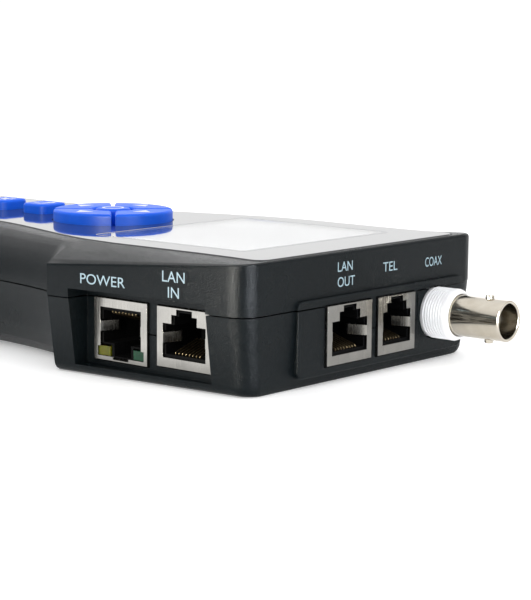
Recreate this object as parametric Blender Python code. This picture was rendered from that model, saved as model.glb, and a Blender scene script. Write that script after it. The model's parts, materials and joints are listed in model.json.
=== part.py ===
"""Handheld network cable tester: a two-shell case with a wide head and a narrower grip, a glossy face plate,
a round direction pad with keys below it, two jacks and a BNC in the end wall, and two jacks in the side wall.

The case lies on its back: +Z is out of its face, +Y towards the end wall, and X = 0 is its middle plane.
Along the case, "s" is the distance behind the end wall, towards the end of the grip.
"""

import math
from collections import namedtuple

import bmesh
import bpy
from mathutils import Matrix, Vector

MM = 0.001
GAP = 0.3 * MM  # clear space between pieces that meet

# Case
BODY_LENGTH = 186 * MM
HEAD_END_WIDTH = 85.2 * MM
HEAD_FLARE = 4 * MM  # how far each side of the head leans out by its shoulder
HEAD_LENGTH = 55.5 * MM
SHOULDER_LENGTH = 6 * MM
WAIST_WIDTH = 86.6 * MM
GRIP_WIDTH = 72 * MM
TAPER_LENGTH = 48 * MM
CASE_HEIGHT = 29 * MM
SHOULDER_DROP = 4 * MM  # how far the sloped facet falls by the shoulder
CORNER_RADIUS = 5 * MM
TOP_EDGE_RADIUS = 0.8 * MM
BOTTOM_EDGE_RADIUS = 2.5 * MM
GRIP_EDGE_WIDTH = 11 * MM  # how far the grip's sides curl under
END_ROUND_LENGTH = 26 * MM
WALL = 2 * MM
DRAFT = math.tan(math.radians(8))  # lean of the lower shell's walls
END_LEAN = 0.35  # lean of its end wall, as a share of that
TRIM = 1 * MM  # how far each shell is made past the parting line, then trimmed
PLATE_CORNER_FLARE = 1.6 * MM  # how much wider the plate is at its front corners
PLATE_FLARE_LENGTH = 24 * MM
TOOL_REACH = 8 * MM  # how far a cutting tool runs past the wall that it cuts

# Jacks, each in its own frame: width along X, height along Z, front face at Y = 0
JACK_SEAT_HEIGHT = 4.2 * MM
JACK_HEIGHT = 13.3 * MM
JACK_DEPTH = 15 * MM
JACK_PROUD = 0.55 * MM  # how far a jack stands out of the face around it
RJ45_WIDTH = 16 * MM
RJ11_WIDTH = 14.1 * MM
POE_WIDTH = 16.3 * MM
POE_HEIGHT = 14 * MM
SHEET = 0.35 * MM  # shield metal
SOCKET_DEPTH = 12.2 * MM
RJ45_PLUG_WIDTH = 11.9 * MM
RJ11_PLUG_WIDTH = 9.9 * MM
CONTACT_PITCH = 1.02 * MM
CONTACT_WIDTH = 0.46 * MM
PLUG_CLEARANCE = 0.35 * MM  # each side of the plug, in the shield's opening
TAB_HEIGHTS = (5.3 * MM, 7.6 * MM)  # the spring tabs' lower and upper edges
TAB_REACH = 3.2 * MM  # how deep the insert is cleared for them
LIGHT_SPAN = (3.6 * MM, 7.1 * MM)  # each light pipe's sides, from the jack's middle
LIGHT_HEIGHTS = (0.95 * MM, 3.05 * MM)
LIGHT_DEPTH = 5.5 * MM
LIGHT_ROOM = (0.3 * MM, 0.4 * MM)  # beside and above a light pipe
MAIN_JACK_X = 8.4 * MM
END_WEB = 2.45 * MM  # between the two jacks in the end wall
SCAN_JACK_EDGE = 11.1 * MM  # from the end wall to the nearest side jack
SIDE_WEB = 3.05 * MM

# Raised pad around the end wall's connectors, and the side jacks' recess
PAD_PROUD = 0.75 * MM
PAD_LEFT_MARGIN = 9.5 * MM  # past the main jack
PAD_RIGHT_MARGIN = 10.85 * MM  # past the BNC's axis
PAD_BOTTOM = 2.3 * MM
PAD_TOP = 19.5 * MM
PAD_RADIUS = 1.6 * MM
RECESS_INSET = 2 * MM  # recess floor, in from the side wall at the end corner
RECESS_MARGINS = (0.6 * MM, 2.8 * MM)  # past the jacks, towards the corner and the grip
RECESS_BELOW = 1.3 * MM
RECESS_ABOVE = 2.2 * MM

# BNC
BNC_WEB = 3 * MM  # between its barrel and the small jack
BNC_AXIS_HEIGHT = 11.6 * MM
BNC_REACH = 21.3 * MM
BNC_SHELL_RADIUS = 4.825 * MM
BNC_BORE_RADIUS = 4.05 * MM
BNC_BARREL_RADIUS = 6.1 * MM
BNC_BARREL_LENGTH = 7.9 * MM  # out of the end wall
BNC_RIBS = 6
BNC_INSIDE = 3.6 * MM
BNC_RIB_DEPTH = 0.3 * MM
BNC_SHELL_RIM = 0.25 * MM
BNC_MOUTH_DEPTH = 9 * MM  # from the tip back to the insulator
BNC_NECK_LENGTH = 4 * MM
BNC_NECK_RADIUS = 2.3 * MM
BNC_PIN_RADIUS = 0.6 * MM
BNC_LUG_RADIUS = 1.05 * MM
BNC_LUG_HEIGHT = 0.75 * MM
BNC_LUG_FROM_TIP = 5.4 * MM

# Face plate, window and display
PLATE_THICKNESS = 1.4 * MM
PLATE_PROUD = 0.2 * MM
PLATE_HEAD_WIDTH = 69.4 * MM
PLATE_GRIP_WIDTH = 42 * MM
PLATE_TAPER_START = 46 * MM
PLATE_TAPER_LENGTH = 62 * MM
PLATE_FRONT = 1.4 * MM
PLATE_END = 13.3 * MM
PLATE_CORNER_RADIUS = 3 * MM
LIP_WIDTH = 1 * MM
SEAT_THICKNESS = 1.6 * MM
WINDOW_WIDTH = 54.4 * MM
WINDOW_LENGTH = 47.6 * MM
WINDOW_FRONT = 13.7 * MM
DISPLAY_BORDER = 2 * MM
DISPLAY_THICKNESS = 4.5 * MM

# Keypad
PAD_TO_WINDOW = 4.55 * MM
PAD_TO_KEYS = 5.85 * MM
DIRECTION_PAD_RADIUS = 14.95 * MM
OK_RADIUS = 4.4 * MM
KEY_SPACING = 0.95 * MM  # between the direction keys, and round the middle key
DIRECTION_KEY_HEIGHT = 2.8 * MM
FUNCTION_KEY_HEIGHT = 2.5 * MM
FUNCTION_KEY_SIZE = (9.4 * MM, 8.4 * MM)
FUNCTION_KEY_RADIUS = 2.2 * MM
FUNCTION_KEYS = ("key_back", "key_light", "key_power")
ROW_PITCH = 15 * MM
KEY_EDGE = 0.75 * MM
KEY_TRAVEL = 0.8 * MM
KEY_FLANGE = 1 * MM
KEY_FLANGE_REACH = 0.8 * MM  # how far a flange stands out under the case
OK_KEY_RISE = 0.2 * MM  # how far the middle key stands above the ring
MAT_MARGIN = 1.2 * MM  # how far the mat runs past the direction pad
MAT_RADIUS = 4 * MM
MAT_THICKNESS = 1.2 * MM
BOARD_THICKNESS = 1.6 * MM

# Screws, bosses and battery
SCREW_HEAD_RADIUS = 2.5 * MM
SCREW_HEAD_HEIGHT = 1.8 * MM
SCREW_RADIUS = 1.25 * MM
SCREW_LENGTH = 20 * MM
SCREW_RECESS = 2.4 * MM
SCREW_SOCKET = (1.1 * MM, 1 * MM)  # radius and depth of the drive hollow
BOSS_RADIUS = 3.2 * MM
HEAD_SCREW_INSETS = (8 * MM, 7.4 * MM)  # from the recess floor's plane, and from the end wall
WAIST_SCREW_INSETS = (9.3 * MM, 0.7 * MM)  # from the waist's side, and in front of the head's end
GRIP_SCREW_INSETS = (16 * MM, 15.5 * MM)  # from the grip's side, and from its end
DOOR_WIDTH = 40 * MM
DOOR_LENGTH = 62 * MM
DOOR_END_MARGIN = 27 * MM  # from the grip's end
DOOR_RADIUS = 3 * MM
DOOR_THICKNESS = 1.7 * MM
BATTERY_WIDTH = 34 * MM
BATTERY_LENGTH = 54 * MM
BATTERY_THICKNESS = 10 * MM
BATTERY_EDGE_RADIUS = 3 * MM
BOARD_SIDE_INSET = 8.6 * MM  # the main board's edges, from the head's side, front and back
BOARD_FRONT_INSET = 6.8 * MM
BOARD_BACK_INSET = 5.2 * MM
BUZZER_RADIUS = 6 * MM
BUZZER_HEIGHT = 5 * MM

# Places that follow from the sizes above
END_Y = (BODY_LENGTH - BNC_REACH) / 2
PARTING_HEIGHT = JACK_SEAT_HEIGHT + JACK_HEIGHT
END_JACK_Y = END_Y + PAD_PROUD + JACK_PROUD
RJ11_JACK_X = MAIN_JACK_X - RJ45_WIDTH / 2 - END_WEB - RJ11_WIDTH / 2
BNC_X = RJ11_JACK_X - RJ11_WIDTH / 2 - BNC_WEB - BNC_BARREL_RADIUS
RECESS_X = HEAD_END_WIDTH / 2 - RECESS_INSET - JACK_PROUD
SIDE_JACK_X = RECESS_X + JACK_PROUD
SCAN_JACK_Y = END_Y - SCAN_JACK_EDGE - RJ45_WIDTH / 2
POE_JACK_Y = SCAN_JACK_Y - RJ45_WIDTH / 2 - SIDE_WEB - POE_WIDTH / 2
POE_SEAT_HEIGHT = JACK_SEAT_HEIGHT - (POE_HEIGHT - JACK_HEIGHT)
PLATE_TOP = CASE_HEIGHT + PLATE_PROUD
PLATE_BOTTOM = PLATE_TOP - PLATE_THICKNESS
SEAT_TOP = PLATE_BOTTOM - GAP
SEAT_BOTTOM = SEAT_TOP - SEAT_THICKNESS
PAD_CENTRE_Y = END_Y - WINDOW_FRONT - WINDOW_LENGTH - PAD_TO_WINDOW - DIRECTION_PAD_RADIUS
FIRST_ROW_OFFSET = DIRECTION_PAD_RADIUS + PAD_TO_KEYS + FUNCTION_KEY_SIZE[1] / 2
WINDOW_Y = END_Y - WINDOW_FRONT - WINDOW_LENGTH / 2
FLANGE_TOP = SEAT_BOTTOM - GAP
FLANGE_BOTTOM = FLANGE_TOP - KEY_FLANGE
MAT_TOP = FLANGE_BOTTOM - KEY_TRAVEL - GAP
DOOR_Y = END_Y - BODY_LENGTH + DOOR_END_MARGIN + DOOR_LENGTH / 2
TONGUE_BOTTOM = JACK_SEAT_HEIGHT + JACK_HEIGHT / 2
MAIN_BOARD_BOTTOM = WALL + GAP
HEAD_SCREW = (RECESS_X - HEAD_SCREW_INSETS[0], END_Y - HEAD_SCREW_INSETS[1])
WAIST_SCREW = (WAIST_WIDTH / 2 - WAIST_SCREW_INSETS[0], END_Y - HEAD_LENGTH + WAIST_SCREW_INSETS[1])
GRIP_SCREW = (GRIP_WIDTH / 2 - GRIP_SCREW_INSETS[0], END_Y - BODY_LENGTH + GRIP_SCREW_INSETS[1])
SCREW_PLACES = [(side * x, y) for x, y in (HEAD_SCREW, WAIST_SCREW, GRIP_SCREW) for side in (1, -1)]

# A jack's front in its own frame: (half width, top) of each step from the bottom up, where a half width
# of None is the plug's own. The opening is in the shield and the room behind it is in the insert.
JackFront = namedtuple("JackFront", "opening_bottom opening_steps room_bottom room_steps")
PLAIN_FRONT = JackFront(
    2.1 * MM,
    ((None, 9.7 * MM), (3.75 * MM, 11.7 * MM), (2.3 * MM, 13 * MM)),
    2.8 * MM,
    ((None, 9.4 * MM), (3.4 * MM, 11.4 * MM), (2.1 * MM, 12.3 * MM)),
)
LIT_FRONT = JackFront(
    2 * MM,
    ((None, POE_HEIGHT - 3.1 * MM), (7.15 * MM, POE_HEIGHT - 0.9 * MM), (2.4 * MM, POE_HEIGHT - 0.3 * MM)),
    2.8 * MM,
    ((None, POE_HEIGHT - 3.9 * MM), (2.6 * MM, POE_HEIGHT - 1 * MM)),
)

# A spring tab in plan, from the opening's edge, and a contact wire and its bar from the side, in millimetres
TAB_OUTLINE = (
    (0.4, 0), (0.4, -0.33), (-0.3, -1.4), (-1.3, -4.2), (-0.5, -5.6),
    (-0.8, -5.7), (-1.65, -4.3), (-0.62, -1.3), (-0.1, 0),
)
WIRE_OUTLINE = ((-11.6, 3.1), (-1.5, 3.1), (-1.15, 3.35), (-8.5, 5.9), (-8.6, 5.6), (-2.1, 3.4), (-11.6, 3.4))
BAR_OUTLINE = ((-11.8, 3.1), (-10.9, 3.1), (-10.9, 3.8), (-11.8, 3.8))

# How finely the case is drawn
UPPER_LEVELS = 7
LOWER_LEVELS = 6
CORNER_STEPS = 5
END_STEPS = 8
END_POWER = 0.8  # under 1 makes the grip's end squarer than an ellipse
HEAD_STATIONS = 5
SHOULDER_STATIONS = 4
TAPER_STATIONS = 7
ROUND_SEGMENTS = 32
EDGE_STEPS = 3  # over a key's soft edge
SMALL_ROUND_SEGMENTS = 16

# The exact solver leaves open edges where it cuts these thin shells, so their cuts use the manifold one
MANIFOLD_PIECES = ("upper_housing", "lower_housing", "cavity")

PALETTE = {
    "case": ((0.032, 0.038, 0.042), 0.45, 0.0),
    "plate": ((0.012, 0.013, 0.016), 0.08, 0.0),
    "key": ((0.02, 0.13, 0.75), 0.4, 0.0),
    "steel": ((0.55, 0.53, 0.5), 0.3, 1.0),
    "gold": ((0.75, 0.55, 0.25), 0.25, 1.0),
    "black": ((0.01, 0.01, 0.011), 0.5, 0.0),
    "white": ((0.85, 0.86, 0.88), 0.4, 0.0),
    "board": ((0.02, 0.16, 0.06), 0.5, 0.0),
    "glass": ((0.03, 0.035, 0.04), 0.1, 0.0),
    "silver": ((0.5, 0.5, 0.52), 0.45, 0.0),
    "yellow": ((0.6, 0.6, 0.05), 0.3, 0.0),
    "green": ((0.02, 0.4, 0.15), 0.3, 0.0),
}


# Shared tools --------------------------------------------------------------------------------------


def clear_scene():
    for old in list(bpy.data.objects):
        bpy.data.objects.remove(old, do_unlink=True)


def material(slot):
    """The Principled material of one palette slot, made the first time it is asked for."""
    if slot in bpy.data.materials:
        return bpy.data.materials[slot]
    colour, roughness, metallic = PALETTE[slot]
    made = bpy.data.materials.new(slot)
    made.use_nodes = True
    shader = made.node_tree.nodes["Principled BSDF"]
    shader.inputs["Base Color"].default_value = (*colour, 1)
    shader.inputs["Roughness"].default_value = roughness
    shader.inputs["Metallic"].default_value = metallic
    made.diffuse_color = (*colour, 1)
    return made


def make_object(name, mesh_data, slot="case", place=None):
    """An object from (points, faces), with its normals facing out."""
    points, faces = mesh_data
    shape = bmesh.new()
    vertices = [shape.verts.new(point) for point in points]
    for face in faces:
        shape.faces.new([vertices[i] for i in face])
    bmesh.ops.recalc_face_normals(shape, faces=shape.faces)
    if place is not None:
        shape.transform(place)
    mesh = bpy.data.meshes.new(name)
    shape.to_mesh(mesh)
    shape.free()
    mesh.materials.append(material(slot))
    made = bpy.data.objects.new(name, mesh)
    bpy.context.scene.collection.objects.link(made)
    return made


def put_origin(made, point):
    """Moves an object's origin to a point of its joint's axis, and leaves its shape where it was."""
    made.data.transform(Matrix.Translation(-Vector(point)))
    made.location = point
    return made


def boolean(target, operation, tools):
    """Applies each tool to the target in turn, and removes the tools."""
    for tool in tools:
        step = target.modifiers.new(operation.lower(), "BOOLEAN")
        step.operation = operation
        step.solver = "MANIFOLD" if target.name in MANIFOLD_PIECES else "EXACT"
        step.object = tool
        graph = bpy.context.evaluated_depsgraph_get()
        mesh = bpy.data.meshes.new_from_object(target.evaluated_get(graph))
        target.modifiers.clear()
        old = target.data
        target.data = mesh
        bpy.data.meshes.remove(old)
        bpy.data.objects.remove(tool, do_unlink=True)
    return target


def cut(target, *tools):
    return boolean(target, "DIFFERENCE", tools)


def join(target, *tools):
    return boolean(target, "UNION", tools)


def keep_common(target, *tools):
    return boolean(target, "INTERSECT", tools)


def rings_mesh(rings):
    """A closed skin through rings of equal count, with a cap at each end."""
    count = len(rings[0])
    points = [point for ring in rings for point in ring]
    faces = [tuple(range(count))[::-1]]
    for level in range(len(rings) - 1):
        for i in range(count):
            j = (i + 1) % count
            low, high = level * count, (level + 1) * count
            faces.append((low + i, low + j, high + j, high + i))
    faces.append(tuple(range((len(rings) - 1) * count, len(rings) * count)))
    return points, faces


def box(x_range, y_range, z_range, name="tool", slot="case"):
    (x0, x1), (y0, y1), (z0, z1) = x_range, y_range, z_range
    corners = ((x0, y0), (x1, y0), (x1, y1), (x0, y1))
    return make_object(name, rings_mesh([[(x, y, z) for x, y in corners] for z in (z0, z1)]), slot)


def prism(outline, axis, low, high, name="tool", slot="case", place=None):
    """An outline drawn out along an axis: X takes (y, z) pairs, Y takes (x, z) and Z takes (x, y)."""

    def corner(a, b, along):
        return {"X": (along, a, b), "Y": (a, along, b), "Z": (a, b, along)}[axis]

    rings = [[corner(a, b, along) for a, b in outline] for along in (low, high)]
    return make_object(name, rings_mesh(rings), slot, place)


def turned(profile, centre, axis="Z", name="tool", slot="case", segments=ROUND_SEGMENTS):
    """A profile of (radius, distance along) turned about an axis: a ring if it stays off it, else a solid."""
    hollow = all(radius > 0 for radius, _ in profile)
    points, faces = [], []
    for step in range(segments):
        angle = 2 * math.pi * step / segments
        for radius, along in profile:
            a, b = radius * math.cos(angle), radius * math.sin(angle)
            points.append((a, along, b) if axis == "Y" else (a, b, along))
    count = len(profile)
    for step in range(segments):
        after = (step + 1) % segments
        for i in range(count if hollow else count - 1):
            j = (i + 1) % count
            faces.append((step * count + i, step * count + j, after * count + j, after * count + i))
    made = make_object(name, (points, faces), slot, Matrix.Translation(centre))
    tidy = bmesh.new()
    tidy.from_mesh(made.data)
    bmesh.ops.remove_doubles(tidy, verts=tidy.verts, dist=0.001 * MM)
    bmesh.ops.recalc_face_normals(tidy, faces=tidy.faces)
    tidy.to_mesh(made.data)
    tidy.free()
    return made


def rounded_rectangle(centre, size, radius, steps=5):
    """Corner-rounded outline as (a, b) pairs."""
    outline = []
    for turn, (side_a, side_b) in enumerate(((1, 1), (-1, 1), (-1, -1), (1, -1))):
        middle_a = centre[0] + side_a * (size[0] / 2 - radius)
        middle_b = centre[1] + side_b * (size[1] / 2 - radius)
        for step in range(steps + 1):
            angle = math.pi / 2 * (turn + step / steps)
            outline.append((middle_a + radius * math.cos(angle), middle_b + radius * math.sin(angle)))
    return outline


def grown(outline, centre, amount):
    """An outline moved outwards from its centre by about the amount."""
    moved = []
    for a, b in outline:
        away = Vector((a - centre[0], b - centre[1]))
        away *= 1 + amount / away.length
        moved.append((centre[0] + away.x, centre[1] + away.y))
    return moved


def mix(a, b, share):
    return a + (b - a) * share


def share_of(value, start, length):
    return min(max((value - start) / length, 0), 1)


def smooth(share):
    return share * share * (3 - 2 * share)


# Case ----------------------------------------------------------------------------------------------


def shoulder_share(s):
    """0 on the head and 1 on the grip, with a crisp start and a soft end."""
    return 1 - (1 - share_of(s, HEAD_LENGTH, SHOULDER_LENGTH)) ** 2


def half_width(s):
    """Half the case's width at the parting line."""
    head = HEAD_END_WIDTH / 2 + HEAD_FLARE * s / HEAD_LENGTH
    left = (1 - share_of(s, HEAD_LENGTH, TAPER_LENGTH)) ** 2
    grip = mix(GRIP_WIDTH, WAIST_WIDTH, left) / 2
    return mix(head, grip, shoulder_share(s))


def plate_half_width(s):
    taper = smooth(share_of(s, PLATE_TAPER_START, PLATE_TAPER_LENGTH))
    corner_flare = PLATE_CORNER_FLARE * (1 - share_of(s, 0, PLATE_FLARE_LENGTH)) ** 2
    return mix(PLATE_HEAD_WIDTH, PLATE_GRIP_WIDTH, taper) / 2 + corner_flare


def upper_profile(level, s):
    """(inset from the parting line, height) of one level of the upper shell's skin."""
    top_inset = half_width(s) - plate_half_width(s) - GAP - LIP_WIDTH
    wall_top = CASE_HEIGHT - SHOULDER_DROP * min(s / HEAD_LENGTH, 1)
    edge = TOP_EDGE_RADIUS
    facet_share = (0.14, 0.5, 1)
    head = (
        (0, PARTING_HEIGHT - TRIM),
        (0, mix(PARTING_HEIGHT, wall_top, 0.5)),
        (0, wall_top - edge),
        (0.3 * edge, wall_top - 0.3 * edge),
        *((top_inset * part, mix(wall_top, CASE_HEIGHT, part)) for part in facet_share),
    )[level]
    angle = math.pi / 2 * level / (UPPER_LEVELS - 1)
    grip = (
        top_inset * (1 - math.cos(angle)),
        mix(PARTING_HEIGHT - TRIM, CASE_HEIGHT, math.sin(angle)),
    )
    share = shoulder_share(s)
    return mix(head[0], grip[0], share), mix(head[1], grip[1], share)


def lower_profile(level, s):
    """(inset, height) of one level of the lower shell's skin, from the parting line down."""
    edge = BOTTOM_EDGE_RADIUS
    turn = math.pi / 2 * max(level - 1, 0) / (LOWER_LEVELS - 2)
    wall_inset = (PARTING_HEIGHT - edge) * DRAFT
    head = (0, PARTING_HEIGHT + TRIM)
    if level:
        head = (wall_inset + edge * (1 - math.cos(turn)), edge * (1 - math.sin(turn)))
    angle = math.pi / 2 * level / (LOWER_LEVELS - 1)
    grip = (GRIP_EDGE_WIDTH * (1 - math.cos(angle)), (PARTING_HEIGHT + TRIM) * (1 - math.sin(angle)))
    share = shoulder_share(s)
    return mix(head[0], grip[0], share), mix(head[1], grip[1], share)


def front_inset(profile, level):
    """How far the end wall stands back at one level."""
    if profile is upper_profile:
        return (0, 0, 0, 0.25 * MM, 0.55 * MM, 0.8 * MM, PLATE_FRONT - GAP)[level]
    return lower_profile(level, 0)[0] * END_LEAN


def end_inset(profile, level):
    """How far the grip's round end stands in at one level."""
    if profile is upper_profile:
        angle = math.pi / 2 * level / (UPPER_LEVELS - 1)
        return (PLATE_END - GAP - LIP_WIDTH) * (1 - math.cos(angle))
    angle = math.pi / 2 * level / (LOWER_LEVELS - 1)
    return GRIP_EDGE_WIDTH * (1 - math.cos(angle))


def stations():
    """Distances behind the end wall at which the case's sides are drawn."""
    first = CORNER_RADIUS + BOTTOM_EDGE_RADIUS + WALL + 1.5 * MM
    places = [mix(first, HEAD_LENGTH, i / HEAD_STATIONS) for i in range(HEAD_STATIONS + 1)]
    places += [HEAD_LENGTH + SHOULDER_LENGTH * (i + 1) / SHOULDER_STATIONS for i in range(SHOULDER_STATIONS)]
    taper_start = HEAD_LENGTH + SHOULDER_LENGTH
    taper_end = PLATE_TAPER_START + PLATE_TAPER_LENGTH
    places += [mix(taper_start, taper_end, (i + 1) / TAPER_STATIONS) for i in range(TAPER_STATIONS)]
    return places + [BODY_LENGTH - END_ROUND_LENGTH]


def whole_outline(half):
    """(x, s, z) points down the +X side, turned into a full loop with the case's own Y."""
    points = [(x, END_Y - s, z) for x, s, z in half]
    return points + [(-x, y, z) for x, y, z in reversed(points[:-1])]


def case_ring(profile, level, offset=0.0, height=None):
    """One level of a shell's skin as a closed loop, moved in by offset."""
    front = front_inset(profile, level) + offset
    corner = max(CORNER_RADIUS - front, 1 * MM)
    arc_s = front + corner
    half = []
    side = half_width(arc_s) - profile(level, arc_s)[0] - offset
    for step in range(CORNER_STEPS + 1):
        angle = math.pi / 2 * step / CORNER_STEPS
        s = arc_s - corner * math.cos(angle)
        half.append((side - corner * (1 - math.sin(angle)), s, profile(level, s)[1]))
    for s in stations():
        inset, z = profile(level, s)
        half.append((half_width(s) - inset - offset, s, z))
    start = BODY_LENGTH - END_ROUND_LENGTH
    side, _, z = half[-1]
    depth = END_ROUND_LENGTH - end_inset(profile, level) - offset
    for step in range(1, END_STEPS):
        angle = math.pi / 2 * step / END_STEPS
        half.append((side * math.cos(angle) ** END_POWER, start + depth * math.sin(angle) ** END_POWER, z))
    half.append((0, start + depth, z))
    ring = whole_outline(half)
    return ring if height is None else [(x, y, height(z)) for x, y, z in ring]


def plate_outline(offset):
    """The face plate's outline as (x, y) pairs, moved out by offset."""
    front = PLATE_FRONT - offset
    corner = PLATE_CORNER_RADIUS + offset
    arc_s = front + corner
    side = plate_half_width(arc_s) + offset
    half = []
    for step in range(CORNER_STEPS + 1):
        angle = math.pi / 2 * step / CORNER_STEPS
        half.append((side - corner * (1 - math.sin(angle)), arc_s - corner * math.cos(angle), 0))
    half += [(plate_half_width(s) + offset, s, 0) for s in stations()]
    start = BODY_LENGTH - END_ROUND_LENGTH
    side = half[-1][0]
    depth = END_ROUND_LENGTH - PLATE_END + offset
    for step in range(1, END_STEPS):
        angle = math.pi / 2 * step / END_STEPS
        half.append((side * math.cos(angle) ** END_POWER, start + depth * math.sin(angle) ** END_POWER, 0))
    half.append((0, start + depth, 0))
    return [(x, y) for x, y, _ in whole_outline(half)]


def recess_y_range(margin=0.0):
    low = POE_JACK_Y - POE_WIDTH / 2 - RECESS_MARGINS[1] - margin
    high = SCAN_JACK_Y + RJ45_WIDTH / 2 + RECESS_MARGINS[0] + margin
    return low, high


def recess_z_range(margin=0.0):
    return POE_SEAT_HEIGHT - RECESS_BELOW - margin, PARTING_HEIGHT + RECESS_ABOVE + margin


def recess_block(margin=0.0):
    """The side recess as a tool; with a margin, the block of case material around and behind it."""
    outside = HEAD_END_WIDTH / 2 + HEAD_FLARE + TOOL_REACH
    return box((RECESS_X - margin, outside), recess_y_range(margin), recess_z_range(margin))


def case_cavity(profile, levels):
    """The room inside a shell, less the material around the side recess."""
    if profile is upper_profile:
        ceiling = SEAT_BOTTOM

        def height(z):
            return min(z - WALL, ceiling)

        rings = [case_ring(profile, 0, WALL, lambda z: PARTING_HEIGHT - 2 * TRIM)]
        rings += [case_ring(profile, level, WALL, height) for level in range(1, levels)]
    else:
        rings = [case_ring(profile, 0, WALL, lambda z: PARTING_HEIGHT + 2 * TRIM)]
        rings += [case_ring(profile, level, WALL, lambda z: z + WALL) for level in range(1, levels)]
    return cut(make_object("cavity", rings_mesh(rings)), recess_block(WALL))


def end_pad(z_range):
    """The part of the raised connector pad that lies in a range of heights."""
    left = MAIN_JACK_X + RJ45_WIDTH / 2 + PAD_LEFT_MARGIN
    right = BNC_X - PAD_RIGHT_MARGIN
    centre = ((left + right) / 2, (PAD_BOTTOM + PAD_TOP) / 2)
    outline = rounded_rectangle(centre, (left - right, PAD_TOP - PAD_BOTTOM), PAD_RADIUS, 3)
    pad = prism(outline, "Y", END_Y - BNC_INSIDE, END_Y + PAD_PROUD)
    bevel = pad.modifiers.new("edge", "BEVEL")
    bevel.width = 0.35 * MM
    bevel.segments = 2
    bevel.limit_method = "ANGLE"
    reach = (right - WALL, left + WALL)
    return keep_common(pad, box(reach, (END_Y - TOOL_REACH, END_Y + TOOL_REACH), z_range))


def jack_holes():
    """Clearance tools for the four jacks and the BNC, through the shells."""
    low, high = JACK_SEAT_HEIGHT - GAP, PARTING_HEIGHT + GAP
    through = (END_Y - TOOL_REACH, END_Y + TOOL_REACH)
    holes = []
    for x, width in ((MAIN_JACK_X, RJ45_WIDTH), (RJ11_JACK_X, RJ11_WIDTH)):
        reach = width / 2 + GAP
        holes.append(box((x - reach, x + reach), through, (low, high)))
    through = (RECESS_X - TOOL_REACH, RECESS_X + TOOL_REACH)
    for y, width, bottom in ((SCAN_JACK_Y, RJ45_WIDTH, low), (POE_JACK_Y, POE_WIDTH, POE_SEAT_HEIGHT - GAP)):
        reach = width / 2 + GAP
        holes.append(box(through, (y - reach, y + reach), (bottom, high)))
    radius = BNC_BARREL_RADIUS + GAP
    ends = (END_Y - BNC_INSIDE - GAP, END_Y + TOOL_REACH)
    profile = ((0, ends[0]), (radius, ends[0]), (radius, ends[1]), (0, ends[1]))
    holes.append(turned(profile, (BNC_X, 0, BNC_AXIS_HEIGHT), "Y"))
    return holes


def tongues(clearance=0.0):
    """Strips of the upper shell that reach down between the jacks; with a clearance, the notches for them."""
    top = PARTING_HEIGHT + (2 * MM if not clearance else 1 * MM)
    bottom = TONGUE_BOTTOM - clearance
    end_middle = RJ11_JACK_X + RJ11_WIDTH / 2 + END_WEB / 2
    end_reach = END_WEB / 2 - GAP + clearance
    front = END_Y + PAD_PROUD + (1 * MM if clearance else 0)
    strips = [box((end_middle - end_reach, end_middle + end_reach), (END_Y - WALL, front), (bottom, top))]
    outer = RJ11_JACK_X - RJ11_WIDTH / 2 - GAP
    beside = (outer - 1.2 * MM - clearance, outer + clearance)
    strips.append(box(beside, (END_Y - WALL, front), (bottom, top)))
    side_middle = SCAN_JACK_Y - RJ45_WIDTH / 2 - SIDE_WEB / 2
    side_reach = SIDE_WEB / 2 - GAP + clearance
    out = RECESS_X + (1 * MM if clearance else 0)
    side = (side_middle - side_reach, side_middle + side_reach)
    strips.append(box((RECESS_X - WALL, out), side, (bottom, top)))
    return strips


def screw_tools(radius, low, high):
    profile = ((0, low), (radius, low), (radius, high), (0, high))
    return [turned(profile, (x, y, 0), segments=SMALL_ROUND_SEGMENTS) for x, y in SCREW_PLACES]


def everything_between(low, high):
    reach = 2 * BODY_LENGTH
    return box((-reach, reach), (-reach, reach), (low, high))


def upper_housing():
    rings = [case_ring(upper_profile, level) for level in range(UPPER_LEVELS)]
    shell = make_object("upper_housing", rings_mesh(rings))
    cut(shell, case_cavity(upper_profile, UPPER_LEVELS), recess_block())
    join(shell, end_pad((PARTING_HEIGHT - 2 * TRIM, PAD_TOP + WALL)))
    join(shell, *screw_tools(BOSS_RADIUS, PARTING_HEIGHT - 2 * TRIM, SEAT_BOTTOM + 0.5 * MM))
    cut(shell, everything_between(-WALL, PARTING_HEIGHT + GAP / 2))
    join(shell, *tongues())
    cut(shell, *jack_holes(), *screw_tools(SCREW_RADIUS + GAP, 0, SCREW_RECESS + SCREW_LENGTH + GAP))
    cut(shell, prism(plate_outline(GAP), "Z", SEAT_TOP, PLATE_TOP + 5 * MM))
    cut(shell, window_opening(), *key_holes(SEAT_BOTTOM - 1 * MM, SEAT_TOP + 1 * MM))
    return shell


def window_opening():
    x = WINDOW_WIDTH / 2
    y = (WINDOW_Y - WINDOW_LENGTH / 2, WINDOW_Y + WINDOW_LENGTH / 2)
    return box((-x, x), y, (SEAT_BOTTOM - 1 * MM, SEAT_TOP + 1 * MM))


def door_opening(clearance, low, high):
    outline = rounded_rectangle((0, DOOR_Y), (DOOR_WIDTH, DOOR_LENGTH), DOOR_RADIUS)
    return prism(grown(outline, (0, DOOR_Y), clearance), "Z", low, high)


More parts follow.
